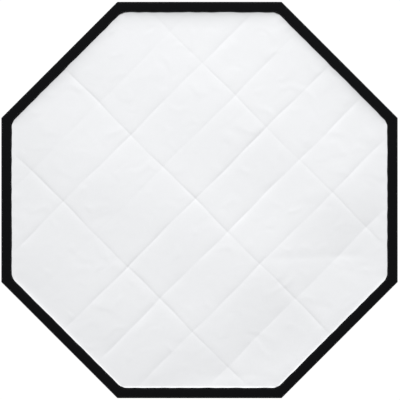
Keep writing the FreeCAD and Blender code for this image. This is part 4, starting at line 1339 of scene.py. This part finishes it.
# %% Make the strap
strap_low, strap_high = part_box("cinch_strap")
STRAP_T = 1.6 * MM
STRAP_OUT = strap_high.x
STRAP_IN = STRAP_OUT - STRAP_T
TAIL_START = 7.5 * MM                  # from the buckle's middle, along the strap
TAIL_TURN = 0.55                       # how far round the ring the free end goes, in radians
TAIL_LIFT = 2.2 * MM                   # how far its end stands off the strap
strap_mid = (strap_low.y + strap_high.y) / 2
strap_half = (strap_high.y - strap_low.y) / 2 - 0.1 * MM


def strap_section(inner, outer):
    """Pill section as (radius, Y) pairs with raised edges."""
    shape = [
        (-1, 0.75), (-0.8, 1.0), (-0.45, 0.86), (0, 0.84), (0.45, 0.86), (0.8, 1.0), (1, 0.75),
        (1, 0.25), (0.8, 0.0), (-0.8, 0.0), (-1, 0.25),
    ]
    return [(inner + (outer - inner) * h, strap_mid + strap_half * w) for w, h in shape]


def strap_rows(inner, outer, start, end, steps, lift=0.0):
    """The strap's section carried from one angle to another; lift raises its far end."""
    rows = []
    for k in range(steps + 1):
        share = k / steps
        a = start + (end - start) * share
        rise = lift * share ** 3
        row = []
        for r, y in strap_section(inner, outer):
            row.append(Vector(((r + rise) * math.sin(a), y, (r + rise) * math.cos(a))))
        rows.append(row)
    return rows


rows = strap_rows(STRAP_IN, STRAP_OUT, 0, 2 * math.pi, 180)[:-1]
tail_from = TAIL_START / STRAP_OUT
tail_to = tail_from + TAIL_TURN
tail = strap_rows(STRAP_OUT + 0.15 * MM, STRAP_OUT + STRAP_T, tail_from, tail_to, 30, TAIL_LIFT)
columns = len(rows[0])
points = [p for row in rows + tail for p in row]
faces = grid_faces(len(rows), columns, close_rows=True, close_columns=True)
first = len(rows) * columns
faces += grid_faces(len(tail), columns, close_columns=True, start=first)
faces += [tuple(first + j for j in reversed(range(columns)))]
faces += [tuple(first + (len(tail) - 1) * columns + j for j in range(columns))]
uvs = [(k // columns * 2.9 * MM, k % columns * 1.2 * MM) for k in range(len(points))]
strap = new_piece("cinch_webbing", points, faces, uvs, [webbing_black])
set_outward(strap)
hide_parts("cinch_strap")
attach(strap, "speed_ring")
print("strap and tail:", len(strap.data.polygons), "faces")

# %% [markdown]
# ## The inner baffle
# Halfway in hangs a smaller white octagon that breaks up the lamp's hot spot. Its corners are pulled by
# elastic, so its sides bow in a little between them, and the cloth between is slacker than the front's. It
# uses the same grid, cut to size, with a plain spacing.

# %% Make the baffle
baffle_low, baffle_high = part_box("baffle_cloth")
BAFFLE_HALF = baffle_high.x
BAFFLE_Y = baffle_low.y
BOW = 5 * MM
HEM = 18 * MM


def bowed(x, z, scale=1.0):
    """Pulls a point in where the side bows; returns x and z."""
    best, which = max(((x * math.sin(k * STEP) + z * math.cos(k * STEP)), k) for k in range(SIDES))
    c, s = math.cos(which * STEP), math.sin(which * STEP)
    place = (x * c - z * s) / max(best * TAN_HALF, 1e-6)
    pull = scale * BOW * (1 - min(place * place, 1)) * (best / BAFFLE_HALF) ** 4
    return x - s * pull, z - c * pull


lines = list(np.arange(-BAFFLE_HALF / MM / COS_HALF - 8, BAFFLE_HALF / MM / COS_HALF + 16, 8))
bm = octagon_sheet(lines, lines, BAFFLE_HALF)
flat_area = sum(f.calc_area() for f in bm.faces)
for vertex in bm.verts:
    x, z = vertex.co.x, vertex.co.z
    edge = max((x * math.sin(k * STEP) + z * math.cos(k * STEP)) for k in range(SIDES))
    free = smooth((BAFFLE_HALF - HEM - edge) / 0.03)
    wave = 2.2 * MM * noise.noise(Vector((x * 9, 3.3, z * 9)))
    wave += 0.8 * MM * noise.noise(Vector((x * 24, 7.1, z * 24)))
    vertex.co.x, vertex.co.z = bowed(x, z)
    vertex.co.y = BAFFLE_Y + 0.4 * MM + wave * free
baffle = sheet_object("baffle", bm, baffle_white)
thicken(baffle, 0.5 * MM, 0)
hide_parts("baffle_cloth")
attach(baffle, "inner_baffle")

hem_low, hem_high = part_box("baffle_hem")
hem = tape_ring(
    "baffle_binding", flat_profile(BAFFLE_HALF, BAFFLE_HALF - HEM, hem_low.y, hem_high.y), binding_white,
    "inner_baffle", "baffle_hem", BOW,
)


def hem_line(inset):
    """A stitch line round the baffle's hem."""
    line = []
    for side in range(SIDES):
        for place in TAPE_PLACES:
            across, height, _ = around_octagon(BAFFLE_HALF - inset, place, side)
            height -= BOW * (1 - place * place)
            line.append((turn((across, hem_low.y, height), side * STEP), Vector((0, -1, 0))))
    return line + line[:1]


sew("hem_stitches", [hem_line(2 * MM), hem_line(HEM - 2 * MM)], thread_white, "inner_baffle", "white_binding")

# %% [markdown]
# Each corner has an elastic strap with a press stud that snaps onto a webbing tab. The tab starts flat, under
# the stud, and then turns to lie along the shell, where it is sewn down. Both are ribbons: a path in the
# plane beside the rod, given a width. `soften` rounds a path's corners by cutting them again and again.

# %% Make the elastics and the tabs
STRAP_SIDE = 17 * MM                   # how far beside the rod a strap and its tab lie
STRAP_WIDTH = 16 * MM
TAB_WIDTH = 18 * MM


def soften(path, times=3):
    """Cuts a path's corners so that it bends smoothly."""
    for _ in range(times):
        cut = [path[0]]
        for a, b in zip(path, path[1:]):
            cut += [a.lerp(b, 0.25), a.lerp(b, 0.75)]
        path = cut + [path[-1]]
    return path


def ribbon(name, path, width, columns=6, wobble=0.0):
    """A strip beside the first rod that follows a path in the rod's plane."""
    rows, uvs = [], []
    length = 0.0
    for k, p in enumerate(path):
        if k:
            length += (p - path[k - 1]).length
        row = []
        for j in range(columns + 1):
            side = (j / columns - 0.5) * width
            lift = wobble * math.sin(length * 170 + side * 60)
            row.append(turn((STRAP_SIDE + side, p.y + lift, p.z), HALF))
        rows.append(row)
        uvs.append([((j / columns - 0.5) * width, length) for j in range(columns + 1)])
    return grid_piece(name, rows, uvs)


corner_r = BAFFLE_HALF / COS_HALF
over = hem_low.y - 0.55 * MM
under = BAFFLE_Y - 0.5 * MM
path = [(-30, over), (-20, over), (2, over), (5, (over + under) / 2), (8, under), (30, under), (57.2, under)]
path = soften([Vector((0, y, corner_r + r * MM)) for r, y in path])
elastics = eightfold(
    "elastic_straps", ribbon("elastic_base", path, STRAP_WIDTH, wobble=0.08 * MM),
    elastic_black, "inner_baffle", "baffle_straps",
)
thicken(elastics, 0.9 * MM, 0)

tab_low, tab_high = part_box("shell_tabs")
tab_y = (tab_low.y + tab_high.y) / 2
TAB_IN = 305 * MM
flap_start = angle_at(ROD_TO_CLOTH, tab_y)
half_gore = on_bend(SHELL_INNER, flap_start).z * math.sin(HALF)
flap_sag = sag_at(1 - (STRAP_SIDE + TAB_WIDTH / 2) / half_gore, flap_start / SHELL_END)
FLAP_OFFSET = SHELL_INNER - flap_sag - 1.1 * MM
path = [Vector((0, tab_y, TAB_IN + reach * MM)) for reach in (0, 12, 34)]
for reach in (2, 5, 9, 16):
    p = on_bend(FLAP_OFFSET, flap_start + reach * MM / BEND_R)
    path.append(Vector((0, p.y, p.z - STRAP_SIDE * TAN_HALF)))
path = soften(path)
tabs = eightfold(
    "sewn_tabs", ribbon("tab_base", path, TAB_WIDTH),
    webbing_black, "speed_ring", "shell_tabs",
)
thicken(tabs, 0.9 * MM, 0)
